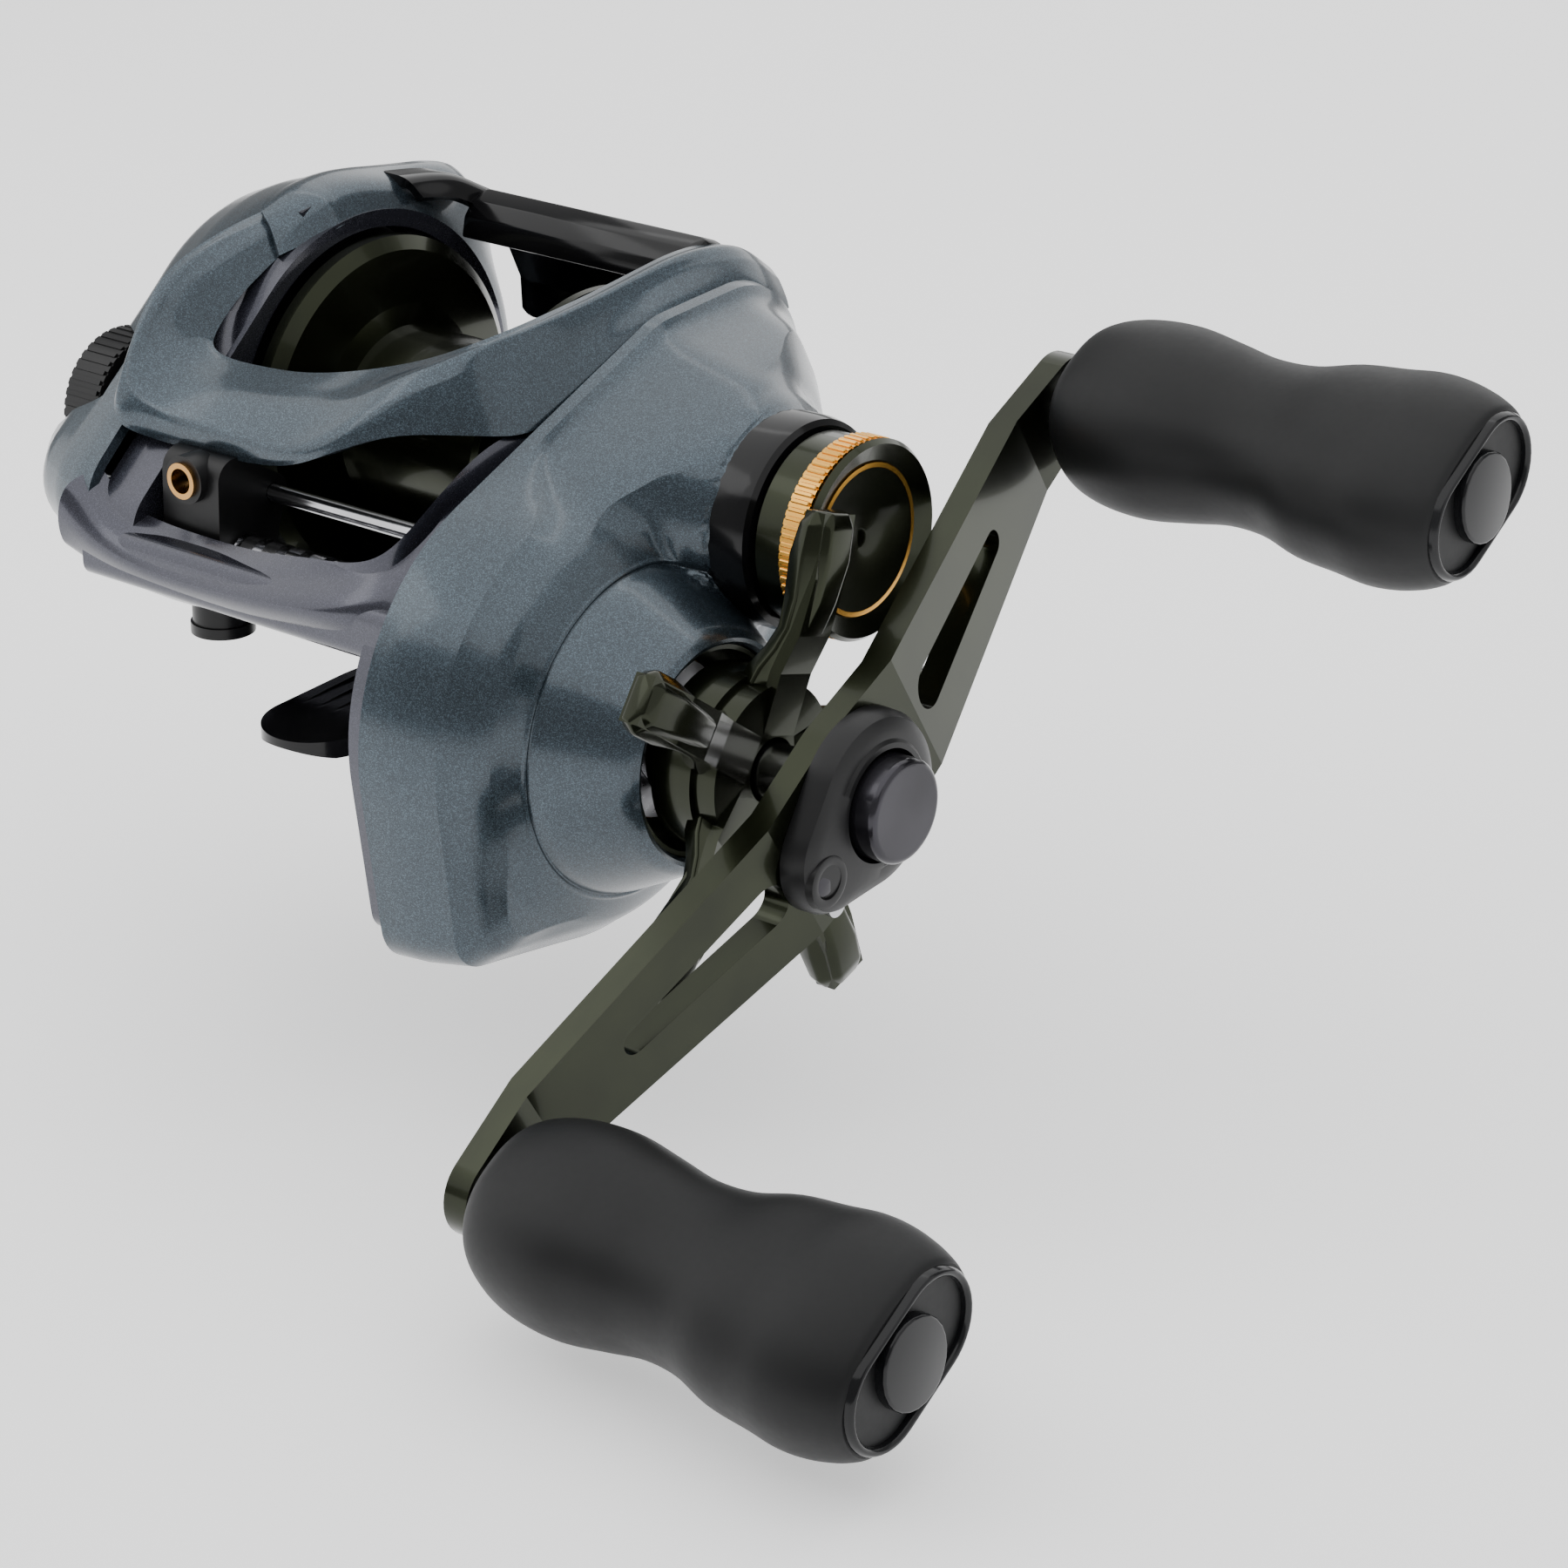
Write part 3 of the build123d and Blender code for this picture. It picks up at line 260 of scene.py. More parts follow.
def apply_modifiers(piece):
    """Turns the piece's modifiers into plain mesh."""
    graph = bpy.context.evaluated_depsgraph_get()
    made = bpy.data.meshes.new_from_object(piece.evaluated_get(graph))
    piece.modifiers.clear()
    old = piece.data
    piece.data = made
    bpy.data.meshes.remove(old)
    return piece


def thicken(piece, thickness, side=-1.0):
    shell = piece.modifiers.new("shell", "SOLIDIFY")
    shell.thickness = thickness * MM
    shell.offset = side
    shell.use_even_offset = True
    return apply_modifiers(piece)


def round_edges(piece, width, segments=3, angle=30.0):
    edge = piece.modifiers.new("edge", "BEVEL")
    edge.width = width * MM
    edge.segments = segments
    edge.limit_method = "ANGLE"
    edge.angle_limit = math.radians(angle)
    edge.harden_normals = False
    return apply_modifiers(piece)


def settle(piece, body, slot, *nodes):
    """Last step for a finished piece: hides the CAD nodes it stands for and puts it on its body;
    slot is not used.
    """
    if nodes:
        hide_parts(*nodes)
    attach(piece, body)


def spline(points, count):
    """A smooth curve of count points through the given ones."""
    points = np.asarray(points, float)
    ends = np.vstack([2 * points[0] - points[1], points, 2 * points[-1] - points[-2]])
    out = []
    for t in np.linspace(0, len(points) - 1, count):
        i = min(int(t), len(points) - 2)
        f = t - i
        a, b, c, d = ends[i : i + 4]
        out.append(
            0.5 * (2 * b + (c - a) * f + (2 * a - 5 * b + 4 * c - d) * f * f
                   + (3 * b - a - 3 * c + d) * f ** 3)
        )
    return np.array(out)


def grid_faces(rows, columns, closed_rows=False, closed_columns=False):
    faces = []
    for r in range(rows if closed_rows else rows - 1):
        for c in range(columns if closed_columns else columns - 1):
            a, b = (r + 1) % rows, (c + 1) % columns
            faces.append(
                (r * columns + c, r * columns + b, a * columns + b, a * columns + c)
            )
    return faces


def ribbon(
    name, rails, along, across, material, thickness, side, smooth=30.0, closed=False, ease=0
):
    """A curved strip or tube through rails, each a list of (x, y, z) control points.

    along and across are its point counts; ease is how many times the rails are evened out.
    """
    rails = np.array([spline(rail, along) for rail in rails])
    for _ in range(ease):
        rails[:, 1:-1] = 0.25 * rails[:, :-2] + 0.5 * rails[:, 1:-1] + 0.25 * rails[:, 2:]
    rows = []
    for station in range(along):
        section = rails[:, station]
        if closed:
            section = np.vstack([section, section[:1]])
            dense = spline(section, across + 1)[:-1]
        else:
            dense = spline(section, across)
        rows.append(dense)
    count = len(rows[0])
    points = np.vstack(rows)
    faces = grid_faces(along, count, closed_columns=closed)
    if closed:
        faces.append(tuple(range(count)))
        faces.append(tuple(range((along - 1) * count, along * count)))
    piece = new_piece(name, points, faces, material, smooth)
    if thickness:
        thicken(piece, thickness, side)
        soften(piece, smooth)
    return piece


def turned(name, axis, outline, material, steps=128, smooth=30.0):
    """Solid of revolution about a line along X through axis; outline is (x, radius)."""
    points = []
    for x, r in outline:
        for k in range(steps):
            a = 2 * math.pi * k / steps
            points.append((x, axis[0] + r * math.cos(a), axis[1] + r * math.sin(a)))
    faces = grid_faces(len(outline), steps, closed_rows=True, closed_columns=True)
    return new_piece(name, points, faces, material, smooth)


def hull_reach(circles, centre, angles):
    """Distance from centre to the hull of the circles, towards each angle."""
    turn = np.linspace(0, 2 * np.pi, 181)
    cloud = np.vstack(
        [np.c_[cy + r * np.cos(turn), cz + r * np.sin(turn)] for cy, cz, r in circles]
    )
    fan = np.linspace(0, 2 * np.pi, 2881)
    normals = np.c_[np.cos(fan), np.sin(fan)]
    limits = (normals @ cloud.T).max(1) - normals @ np.array(centre)
    reach = []
    for a in angles:
        lean = normals @ np.array([math.cos(a), math.sin(a)])
        ok = lean > 1e-3
        reach.append((limits[ok] / lean[ok]).min())
    return np.array(reach)


def smooth_max(a, b, width):
    near = np.maximum(width - np.abs(a - b), 0) / width
    return np.maximum(a, b) + near * near * width / 4


# ---------------------------------------------------------------- sizes and colours
class ReelShape(bpy.types.PropertyGroup):
    """Sizes of the visual model that do not change its fit."""

    shell: bpy.props.FloatProperty(
        name="Shell thickness", description="Wall of the hood and side covers",
        default=0.0011, min=0.0005, max=0.002, unit="LENGTH",
    )
    groove_depth: bpy.props.FloatProperty(
        name="Groove depth", description="Ring groove round the gear cover's boss",
        default=0.00055, min=0.0, max=0.001, unit="LENGTH",
    )
    ring_teeth: bpy.props.IntProperty(
        name="Ring teeth", description="Fine teeth round the cast control ring",
        default=72, min=24, max=120,
    )
    dial_teeth: bpy.props.IntProperty(
        name="Dial ribs", description="Ribs round the brake dial", default=44, min=16, max=80
    )


class ReelColours(bpy.types.PropertyGroup):
    """Base colours of the finishes."""

    paint: bpy.props.FloatVectorProperty(
        name="Paint", description="Housing paint, dark flakes", subtype="COLOR",
        default=(0.013, 0.0185, 0.025), min=0.0, max=1.0,
    )
    paint_light: bpy.props.FloatVectorProperty(
        name="Paint flake", description="Housing paint, light flakes", subtype="COLOR",
        default=(0.115, 0.165, 0.205), min=0.0, max=1.0,
    )
    frame_paint: bpy.props.FloatVectorProperty(
        name="Frame paint", description="Gloss paint of the frame", subtype="COLOR",
        default=(0.032, 0.033, 0.046), min=0.0, max=1.0,
    )
    olive: bpy.props.FloatVectorProperty(
        name="Olive", description="Anodised handle, star and spool", subtype="COLOR",
        default=(0.0135, 0.016, 0.0075), min=0.0, max=1.0,
    )
    gold: bpy.props.FloatVectorProperty(
        name="Gold", description="Anodised ring of the cast control", subtype="COLOR",
        default=(0.72, 0.35, 0.05), min=0.0, max=1.0,
    )


class StageLook(bpy.types.PropertyGroup):
    """Lights and floor."""

    key: bpy.props.FloatProperty(
        name="Key light", description="Power of the large overhead light", default=4.2,
        min=0.0, unit="POWER",
    )
    ground: bpy.props.FloatProperty(
        name="Floor height", description="Height of the floor", default=-0.0295, unit="LENGTH"
    )


FINISHES = {}


def finishes():
    """Makes every material once, and returns them by the record's slot name."""
    if FINISHES:
        return FINISHES
    c = bpy.context.scene.reel_colours
    paint, light, dark, olive, gold = (
        tuple(v) for v in (c.paint, c.paint_light, c.frame_paint, c.olive, c.gold)
    )
    FINISHES.update(
        slate_paint=flake_paint("slate paint", paint, light, 0.31),
        frame_paint=flake_paint("frame paint", dark, (0.09, 0.092, 0.12), 0.24),
        black_gloss=moulding("gloss black", (0.0025, 0.0025, 0.003), 0.14, 600.0, 0.000004),
        black_plastic=moulding("satin black", (0.004, 0.004, 0.0044), 0.36),
        olive_anodised=anodised("olive anodised", olive, tuple(1.7 * v for v in olive), 0.22),
        gold_anodised=anodised("gold anodised", gold, (0.84, 0.45, 0.09), 0.26, 1.0),
        bronze=metal("bronze", (0.62, 0.34, 0.12), 0.24),
        brass=metal("brass", (0.70, 0.52, 0.24), 0.30, (1.0, 0.3, 0.3)),
        polished_steel=metal("polished steel", (0.58, 0.58, 0.60), 0.18, (0.2, 1.0, 1.0)),
        bearing_steel=metal("ground steel", (0.46, 0.46, 0.48), 0.30, (0.2, 1.0, 1.0)),
        gunmetal=anodised("gunmetal", (0.018, 0.017, 0.021), (0.04, 0.038, 0.046), 0.22, 0.8),
        clutch_plastic=moulding("dark moulding", (0.03, 0.03, 0.032), 0.45),
        drag_fibre=moulding("drag fibre", (0.02, 0.02, 0.02), 0.55, 900.0, 0.00003),
        knob_rubber=moulding("knob rubber", (0.0018, 0.002, 0.0024), 0.5, 1500.0, 0.000012),
        knob_cap_black=moulding("gloss cap", (0.004, 0.0042, 0.005), 0.16, 500.0, 0.000004),
    )
    return FINISHES


def at_angle(axis, radius, degrees):
    a = math.radians(degrees)
    return axis[0] + radius * math.cos(a), axis[1] + radius * math.sin(a)


def arm_point(x, along, out):
    """A point of the handle: along the arm from the drive axis, out across it."""
    c, s = math.cos(HANDLE_TILT), math.sin(HANDLE_TILT)
    return x, DRIVE[0] + along * c - out * s, DRIVE[1] + along * s + out * c


class CarriedOver(bpy.types.Operator):
    """Gives every CAD node the procedural finish of its material slot"""

    bl_idname = "reel.carried_over"
    bl_label = "CAD nodes"

    def execute(self, context):
        made = finishes()
        for row in frame["record"]["subparts"]:
            node = frame["nodes"][row["node"]]
            node.data.materials.clear()
            node.data.materials.append(made[row["material_slot"]])
        return {"FINISHED"}


# Circles whose hull is the side outline of each cover, as (y, z, radius)
GEAR_OUTLINE = [
    (*DRIVE, 21.6), (2.0, 14.5, 18.8), (-30.0, -9.4, 4.2), (13.0, 28.2, 8.8), (4.0, 29.0, 7.4),
]
PALM_OUTLINE = [(*SPOOL, 20.6), (-25.2, 19.0, 5.8), (13.4, 33.4, 7.6)]
COVER_SEAM = 17.5


def cover_height(y, z, inset, reach, angle):
    """How far the gear cover stands out at (y, z), inset from its outline."""
    front = np.interp(
        inset, [0.0, 0.3, 1.2, 3.2, 5.2, 9.0, 16.0, 40.0],
        [COVER_SEAM, 20.8, 25.2, 27.4, 28.7, 29.0, 28.4, 27.0],
    )
    top = np.interp(
        inset, [0.0, 0.25, 1.0, 3.8, 4.1, 8.5, 14.0, 20.0, 40.0],
        [COVER_SEAM, 18.6, 19.2, 21.8, 21.4, 26.6, 27.8, 28.0, 27.0],
    )
    share = np.interp(np.degrees(angle), [-90, -12, 18, 84, 116, 270], [0, 0, 1, 1, 0, 0])
    share = share * share * (3 - 2 * share)
    side = front + (top - front) * share
    boss = np.hypot(y - DRIVE[0], z - DRIVE[1])
    cone = np.interp(
        boss, [0.0, 9.6, 10.0, 10.8, 14.2, 15.2, 17.5, 22.0, 30.0],
        [38.6, 38.6, 38.9, 38.2, 31.6, 30.2, 28.6, 24.0, 12.0],
    )
    cast = np.hypot(y - SPOOL[0], z - SPOOL[1])
    collar = np.interp(
        cast, [0.0, 7.6, 8.6, 9.5, 9.9, 10.6, 12.0, 14.5, 18.0, 26.0],
        [37.0, 37.0, 36.0, 33.6, 33.4, 31.6, 29.4, 27.4, 24.4, 14.0],
    )
    height = smooth_max(side, smooth_max(cone, collar, 2.4), 1.6)
    # the boss and collar fade out towards the rim, where the skirt drops to the seam
    fade = np.clip((inset - 1.2) / 2.6, 0, 1)
    return side + (height - side) * fade * fade * (3 - 2 * fade)


class GearCover(bpy.types.Operator):
    """Gear cover: skirt, bevelled band, conical boss with its ring groove, cast control bulge"""

    bl_idname = "reel.gear_cover"
    bl_label = "Gear cover"

    def execute(self, context):
        shape = context.scene.reel_shape
        turns = 288
        angles = np.linspace(-np.pi / 2, 1.5 * np.pi, turns, endpoint=False)
        reach = hull_reach(GEAR_OUTLINE, DRIVE, angles)
        rows = []

        def ring(radii, heights):
            rows.append(
                np.c_[heights, DRIVE[0] + radii * np.cos(angles), DRIVE[1] + radii * np.sin(angles)]
            )

        flat = np.ones(turns)
        ring(9.4 * flat, 33.0 * flat)
        ring(9.4 * flat, 38.3 * flat)
        boss_rows = (*np.linspace(9.7, 13.8, 12), *np.linspace(14.0, 15.3, 14), 15.7, 16.2, 17.0)
        for r in boss_rows:
            radii = r * flat
            y, z = DRIVE[0] + radii * np.cos(angles), DRIVE[1] + radii * np.sin(angles)
            heights = cover_height(y, z, reach - radii, reach, angles)
            groove = shape.groove_depth / MM * math.exp(-(((r - 14.6) / 0.26) ** 2))
            ring(radii, heights - groove)
        for share in np.linspace(0.04, 1.0, 26):
            radii = 17.0 + (reach - 4.55 - 17.0) * share
            y, z = DRIVE[0] + radii * np.cos(angles), DRIVE[1] + radii * np.sin(angles)
            ring(radii, cover_height(y, z, reach - radii, reach, angles))
        for inset in (
            4.4, 4.15, 4.05, 3.85, 3.7, 3.2, 2.6, 2.0, 1.5, 1.22, 1.0, 0.7, 0.3, 0.12, 0.0
        ):
            radii = reach - inset
            y, z = DRIVE[0] + radii * np.cos(angles), DRIVE[1] + radii * np.sin(angles)
            ring(radii, cover_height(y, z, inset * flat, reach, angles))
        piece = new_piece(
            "gear_cover_skin", np.vstack(rows), grid_faces(len(rows), turns, closed_columns=True),
            finishes()["slate_paint"], 22.0,
        )
        thicken(piece, shape.shell / MM, -1.0)
        soften(piece, 22.0)
        settle(piece, "frame", "slate_paint", "gear_cover")
        collar = turned(
            "cast_collar", SPOOL,
            [(29.0, 7.2), (29.0, 9.4), (36.4, 9.5), (37.3, 9.3), (37.6, 8.8), (37.6, 7.2)],
            finishes()["black_gloss"],
        )
        settle(collar, "frame", "black_gloss")
        well = turned(
            "boss_lining", DRIVE,
            [(32.6, 7.3), (32.6, 9.3), (37.9, 9.3), (37.9, 8.9), (33.2, 8.8), (33.2, 7.3)],
            finishes()["olive_anodised"],
        )
        settle(well, "frame", "olive_anodised")
        return {"FINISHED"}


# Rails along the hood, each from the palm side round the front to the rear of the gear side
HOOD_INNER = [
    (-17.0, -9.3, 38.0), (-17.0, -14.3, 35.5), (-16.9, -17.6, 32.8), (-15.8, -18.7, 31.9),
    (-13.6, -18.9, 31.5), (-10.0, -18.8, 31.5), (-5.0, -18.8, 31.9), (0.0, -18.7, 32.9),
    (4.0, -17.9, 33.9), (7.6, -17.0, 35.0), (10.6, -15.8, 36.2), (12.8, -13.2, 37.3),
    (13.0, -8.0, 37.7), (13.0, -1.0, 38.3), (13.0, 5.0, 39.0), (13.0, 11.0, 39.6),
    (13.0, 17.4, 38.9), (12.8, 22.4, 35.8),
]
HOOD_SHOULDER = [
    (-19.6, -8.2, 40.9), (-20.0, -14.0, 39.8), (-20.2, -20.0, 37.4), (-20.2, -24.2, 31.8),
    (-18.8, -25.9, 28.8), (-14.5, -25.7, 27.6), (-8.0, -25.4, 27.3), (-1.5, -25.3, 27.2),
    (2.6, -24.4, 28.9), (6.6, -22.2, 31.8), (10.6, -19.4, 33.8), (13.4, -15.4, 35.2),
    (14.8, -9.8, 36.2), (15.0, -3.0, 36.9), (15.1, 3.6, 37.8), (15.4, 10.4, 38.6),
    (16.2, 17.2, 38.1), (15.6, 22.4, 34.8),
]
HOOD_LIP = [
    (-20.6, -7.4, 41.3), (-20.9, -13.6, 40.2), (-21.2, -20.4, 37.4), (-21.2, -25.0, 30.6),
    (-20.8, -26.7, 26.4), (-16.8, -25.5, 25.0), (-8.5, -25.1, 24.9), (-2.5, -25.0, 25.4),
    (1.6, -25.0, 26.7), (5.2, -24.2, 28.4), (9.6, -21.6, 29.9), (14.4, -17.6, 29.8),
    (17.0, -12.6, 29.4), (17.4, -6.4, 32.2), (17.6, 1.6, 34.9), (17.8, 9.0, 36.0),
    (18.0, 16.8, 35.4), (17.4, 21.6, 32.6),
]


class Hood(bpy.types.Operator):
    """Hood over the line guide, with the arms that run back along both sides"""

    bl_idname = "reel.hood"
    bl_label = "Hood"

    def execute(self, context):
        inner, shoulder, lip = (np.array(rail) for rail in (HOOD_INNER, HOOD_SHOULDER, HOOD_LIP))
        edge = 0.75 * inner + 0.25 * shoulder + (0.0, 0.0, 0.25)
        crest = 0.45 * inner + 0.55 * shoulder + (0.0, 0.0, 0.55)
        near = 0.12 * inner + 0.88 * shoulder + (0.0, 0.0, 0.15)
        below = 0.90 * shoulder + 0.10 * lip
        skirt = 0.4 * shoulder + 0.6 * lip + (lip - inner) * (0.03, 0.03, 0.0)
        piece = ribbon(
            "hood_skin", [inner, edge, crest, near, below, skirt, lip], 170, 43,
            finishes()["slate_paint"], context.scene.reel_shape.shell / MM, -1.0, 28.0, ease=14,
        )
        settle(piece, "frame", "slate_paint", "top_hood")
        return {"FINISHED"}


BAR_RAILS = [
    # top inner edge, then round the front to the bottom and back up inside
    [(-21.0, -28.4, 22.4), (-18.0, -28.6, 19.8), (-13.5, -28.6, 18.9), (-8.0, -28.4, 18.6),
     (0.0, -29.4, 19.2), (6.0, -29.6, 20.2), (10.6, -29.9, 20.8), (14.7, -29.0, 22.2),
     (15.6, -23.8, 26.0), (15.4, -17.8, 28.7), (15.4, -12.6, 29.4)],
    [(-22.0, -31.6, 21.2), (-17.5, -31.0, 19.0), (-11.0, -30.4, 17.6), (-5.0, -30.6, 17.5),
     (1.0, -31.0, 18.1), (8.0, -30.6, 19.2), (12.5, -29.6, 20.4), (15.0, -26.4, 22.6),
     (16.0, -22.0, 24.6), (16.4, -16.7, 26.6), (16.8, -11.0, 28.2)],
    [(-22.6, -32.4, 18.4), (-17.5, -32.6, 16.6), (-11.0, -32.4, 15.6), (-5.0, -32.6, 15.6),
     (1.0, -32.9, 16.0), (8.0, -33.0, 16.8), (13.4, -32.2, 17.8), (16.6, -29.4, 20.0),
     (17.3, -24.4, 22.6), (17.4, -17.6, 25.6), (17.4, -11.2, 27.8)],
    [(-22.4, -31.8, 15.6), (-17.5, -31.0, 13.6), (-11.0, -30.6, 12.8), (-5.0, -30.6, 13.0),
     (1.0, -31.0, 13.4), (8.0, -31.0, 14.0), (13.8, -31.4, 14.8), (16.8, -31.2, 17.0),
     (17.3, -26.6, 21.4), (17.4, -18.8, 24.6), (17.4, -11.4, 27.2)],
    [(-21.4, -29.6, 15.4), (-18.0, -28.8, 13.4), (-12.0, -28.4, 12.7), (-5.0, -28.2, 12.9),
     (1.0, -28.9, 13.3), (8.0, -29.2, 13.8), (13.0, -29.6, 14.6), (15.6, -28.8, 17.0),
     (16.0, -25.4, 20.6), (16.2, -19.0, 24.2), (16.4, -12.0, 26.8)],
    [(-20.4, -28.2, 18.6), (-17.6, -28.2, 16.6), (-12.5, -28.0, 15.9), (-6.5, -27.9, 15.8),
     (0.5, -28.9, 16.3), (7.0, -29.3, 17.0), (11.6, -29.8, 18.0), (15.2, -28.8, 19.4),
     (15.8, -24.0, 23.6), (15.4, -18.8, 27.0), (15.6, -13.0, 28.2)],
]


class FrontBar(bpy.types.Operator):
    """Front bar of the frame with its arm along the gear cover, and the palm-side rim"""

    bl_idname = "reel.front_bar"
    bl_label = "Front bar"

    def execute(self, context):
        paint = finishes()["frame_paint"]
        bar = ribbon("front_bar", BAR_RAILS, 130, 42, paint, 0, 0, 40.0, closed=True, ease=45)
        settle(bar, "frame", "frame_paint")
        # painted band over the palm-side ring, from the hood's seam to the rear
        turns = np.radians(np.arange(103, -76, -7))
        reach = hull_reach(PALM_OUTLINE, SPOOL, turns)
        inner, shoulder, lip = (np.array(rail[0]) for rail in (HOOD_INNER, HOOD_SHOULDER, HOOD_LIP))
        crest = 0.45 * inner + 0.55 * shoulder + (0.0, 0.0, 0.55)
        rails = [[tuple(spot)] for spot in (inner, crest, shoulder, lip)]
        for turn, edge in zip(np.degrees(turns), reach):
            for rail, x, radius in zip(
                rails, (-15.6, -16.8, -19.4, -20.9), (17.9, 20.1, 20.9 + 0.7 * (edge - 20.6), edge)
            ):
                rail.append((x, *at_angle(SPOOL, radius, turn)))
        band = ribbon("palm_rim", rails, 140, 18, finishes()["slate_paint"], 0.6, 1.0)
        settle(band, "frame", "slate_paint")
        return {"FINISHED"}


class PalmPlate(bpy.types.Operator):
    """Palm side plate: rounded bulge with the notch for the brake dial"""

    bl_idname = "reel.palm_plate"
    bl_label = "Palm side plate"

    def execute(self, context):
        turns = 200
        angles = np.linspace(0, 2 * np.pi, turns, endpoint=False)
        centre = (-3.0, 24.0)
        reach = hull_reach(PALM_OUTLINE, centre, angles)
        rows = []
        for share in np.linspace(0.012, 1.0, 46):
            radii = reach * math.sin(share * math.pi / 2)
            inset = reach - radii
            y, z = centre[0] + radii * np.cos(angles), centre[1] + radii * np.sin(angles)
            x = -np.interp(
                inset, [0.0, 0.2, 0.8, 2.2, 4.6, 9.0, 30.0],
                [20.25, 22.4, 25.0, 28.4, 30.6, 31.4, 31.5],
            )
            rows.append(np.c_[x, y, z])
        points = np.vstack(rows)
        faces = grid_faces(len(rows), turns, closed_columns=True)
        faces.append(tuple(range(turns)))
        piece = new_piece("palm_plate_skin", points, faces, finishes()["slate_paint"], 30.0)
        thicken(piece, 1.0, -1.0)
        cutter = turned(
            "cutter", DIAL,
            [(-40.0, 0.001), (-40.0, 7.35), (-25.0, 7.35), (-25.0, 0.001)],
            finishes()["slate_paint"], 96,
        )
        cut = piece.modifiers.new("notch", "BOOLEAN")
        cut.operation = "DIFFERENCE"
        cut.object = cutter
        cut.solver = "EXACT"
        apply_modifiers(piece)
        bpy.data.objects.remove(cutter)
        soften(piece, 30.0)
        settle(piece, "palm_plate", "slate_paint", "palm_side_plate")
        return {"FINISHED"}


# Grip sections: x, half height along the arm, half width across it
GRIP_SECTIONS = [
    (49.0, 4.2, 4.2), (49.5, 5.6, 5.4), (50.6, 6.9, 6.4), (52.6, 7.9, 7.1), (55.5, 8.5, 7.5),
    (59.0, 8.6, 7.5), (63.0, 8.0, 7.0), (67.0, 7.4, 6.4), (71.0, 7.7, 6.3), (75.0, 8.9, 6.8),
    (79.0, 9.4, 7.0), (82.0, 9.8, 7.2), (84.5, 9.7, 7.0), (86.8, 9.2, 6.5), (88.4, 8.6, 5.8),
    (89.0, 8.2, 5.2),
]


def oval(x, tall, wide, along, count, power=2.35):
    """A rounded oval across the knob, its tall way along the handle arm."""
    out = []
    for k in range(count):
        a = 2 * math.pi * k / count
        c, s = math.cos(a), math.sin(a)
        u = math.copysign(abs(c) ** (2 / power), c) * tall
        v = math.copysign(abs(s) ** (2 / power), s) * wide
        out.append(arm_point(x, along + u, v))
    return out


class Knobs(bpy.types.Operator):
    """The two grips and their gloss end caps"""

    bl_idname = "reel.knobs"
    bl_label = "Knobs"

    def execute(self, context):
        made = finishes()
        for letter, side in (("a", 1), ("b", -1)):
            along = side * HANDLE_REACH
            table = spline([(s[0], s[1], s[2]) for s in GRIP_SECTIONS], 76)
            points = [p for x, tall, wide in table for p in oval(x, tall, wide, along, 96)]
            faces = grid_faces(len(table), 96, closed_columns=True)
            faces.append(tuple(range(96)))
            faces.append(tuple(range((len(table) - 1) * 96, len(table) * 96)))
            grip = new_piece(
                f"knob_{letter}_skin", points, faces, made["knob_rubber"], 40.0
            )
            settle(grip, f"knob_{letter}", "knob_rubber", f"knob_{letter}_grip")
            self.cap(letter, along, made)
        return {"FINISHED"}

    def cap(self, letter, along, made):
        """Stadium frame with two windows and a domed bridge between them."""
        work = bmesh.new()

        def prism(outline, low, high):
            ends = []
            for x in (low, high):
                ends.append(
                    [work.verts.new(Vector(arm_point(x, along + u, v)) * MM) for u, v in outline]
                )
            count = len(outline)
            for k in range(count):
                n = (k + 1) % count
                work.faces.new((ends[0][k], ends[0][n], ends[1][n], ends[1][k]))
            work.faces.new(ends[0])
            work.faces.new(ends[1][::-1])

        def stadium(half, radius, steps=20):
            out = []
            for centre, start in ((half - radius, -90), (radius - half, 90)):
                for k in range(steps + 1):
                    a = math.radians(start + 180 * k / steps)
                    out.append((centre + radius * math.cos(a), radius * math.sin(a)))
            return out

        outer, inner = stadium(8.0, 4.9), stadium(7.2, 4.1)
        count = len(outer)
        rings = [
            [(x, u, v) for u, v in points]
            for x, points in (
                (86.0, outer), (89.3, outer), (89.8, stadium(7.7, 4.6)),
                (89.5, inner), (86.4, inner),
            )
        ]
        verts = [
            [work.verts.new(Vector(arm_point(x, along + u, v)) * MM) for x, u, v in one]
            for one in rings
        ]
        for one, two in zip(verts, verts[1:]):
            for k in range(count):
                n = (k + 1) % count
                work.faces.new((one[k], one[n], two[n], two[k]))
        work.faces.new(verts[-1])
        work.faces.new(verts[0][::-1])
        bridge = []
        for k in range(24):
            a = 2 * math.pi * k / 24
            bridge.append((3.8 * math.cos(a), 4.15 * math.sin(a)))
        prism(bridge, 86.3, 90.0)
        mesh = bpy.data.meshes.new(f"knob_{letter}_end")
        bmesh.ops.recalc_face_normals(work, faces=work.faces)
        work.to_mesh(mesh)
        work.free()
        mesh.materials.append(made["knob_cap_black"])
        piece = bpy.data.objects.new(f"knob_{letter}_end", mesh)
        bpy.context.scene.collection.objects.link(piece)
        round_edges(piece, 0.25, 3, 40.0)
        soften(piece, 40.0)
        settle(piece, f"knob_{letter}", "knob_cap_black", f"knob_{letter}_cap")


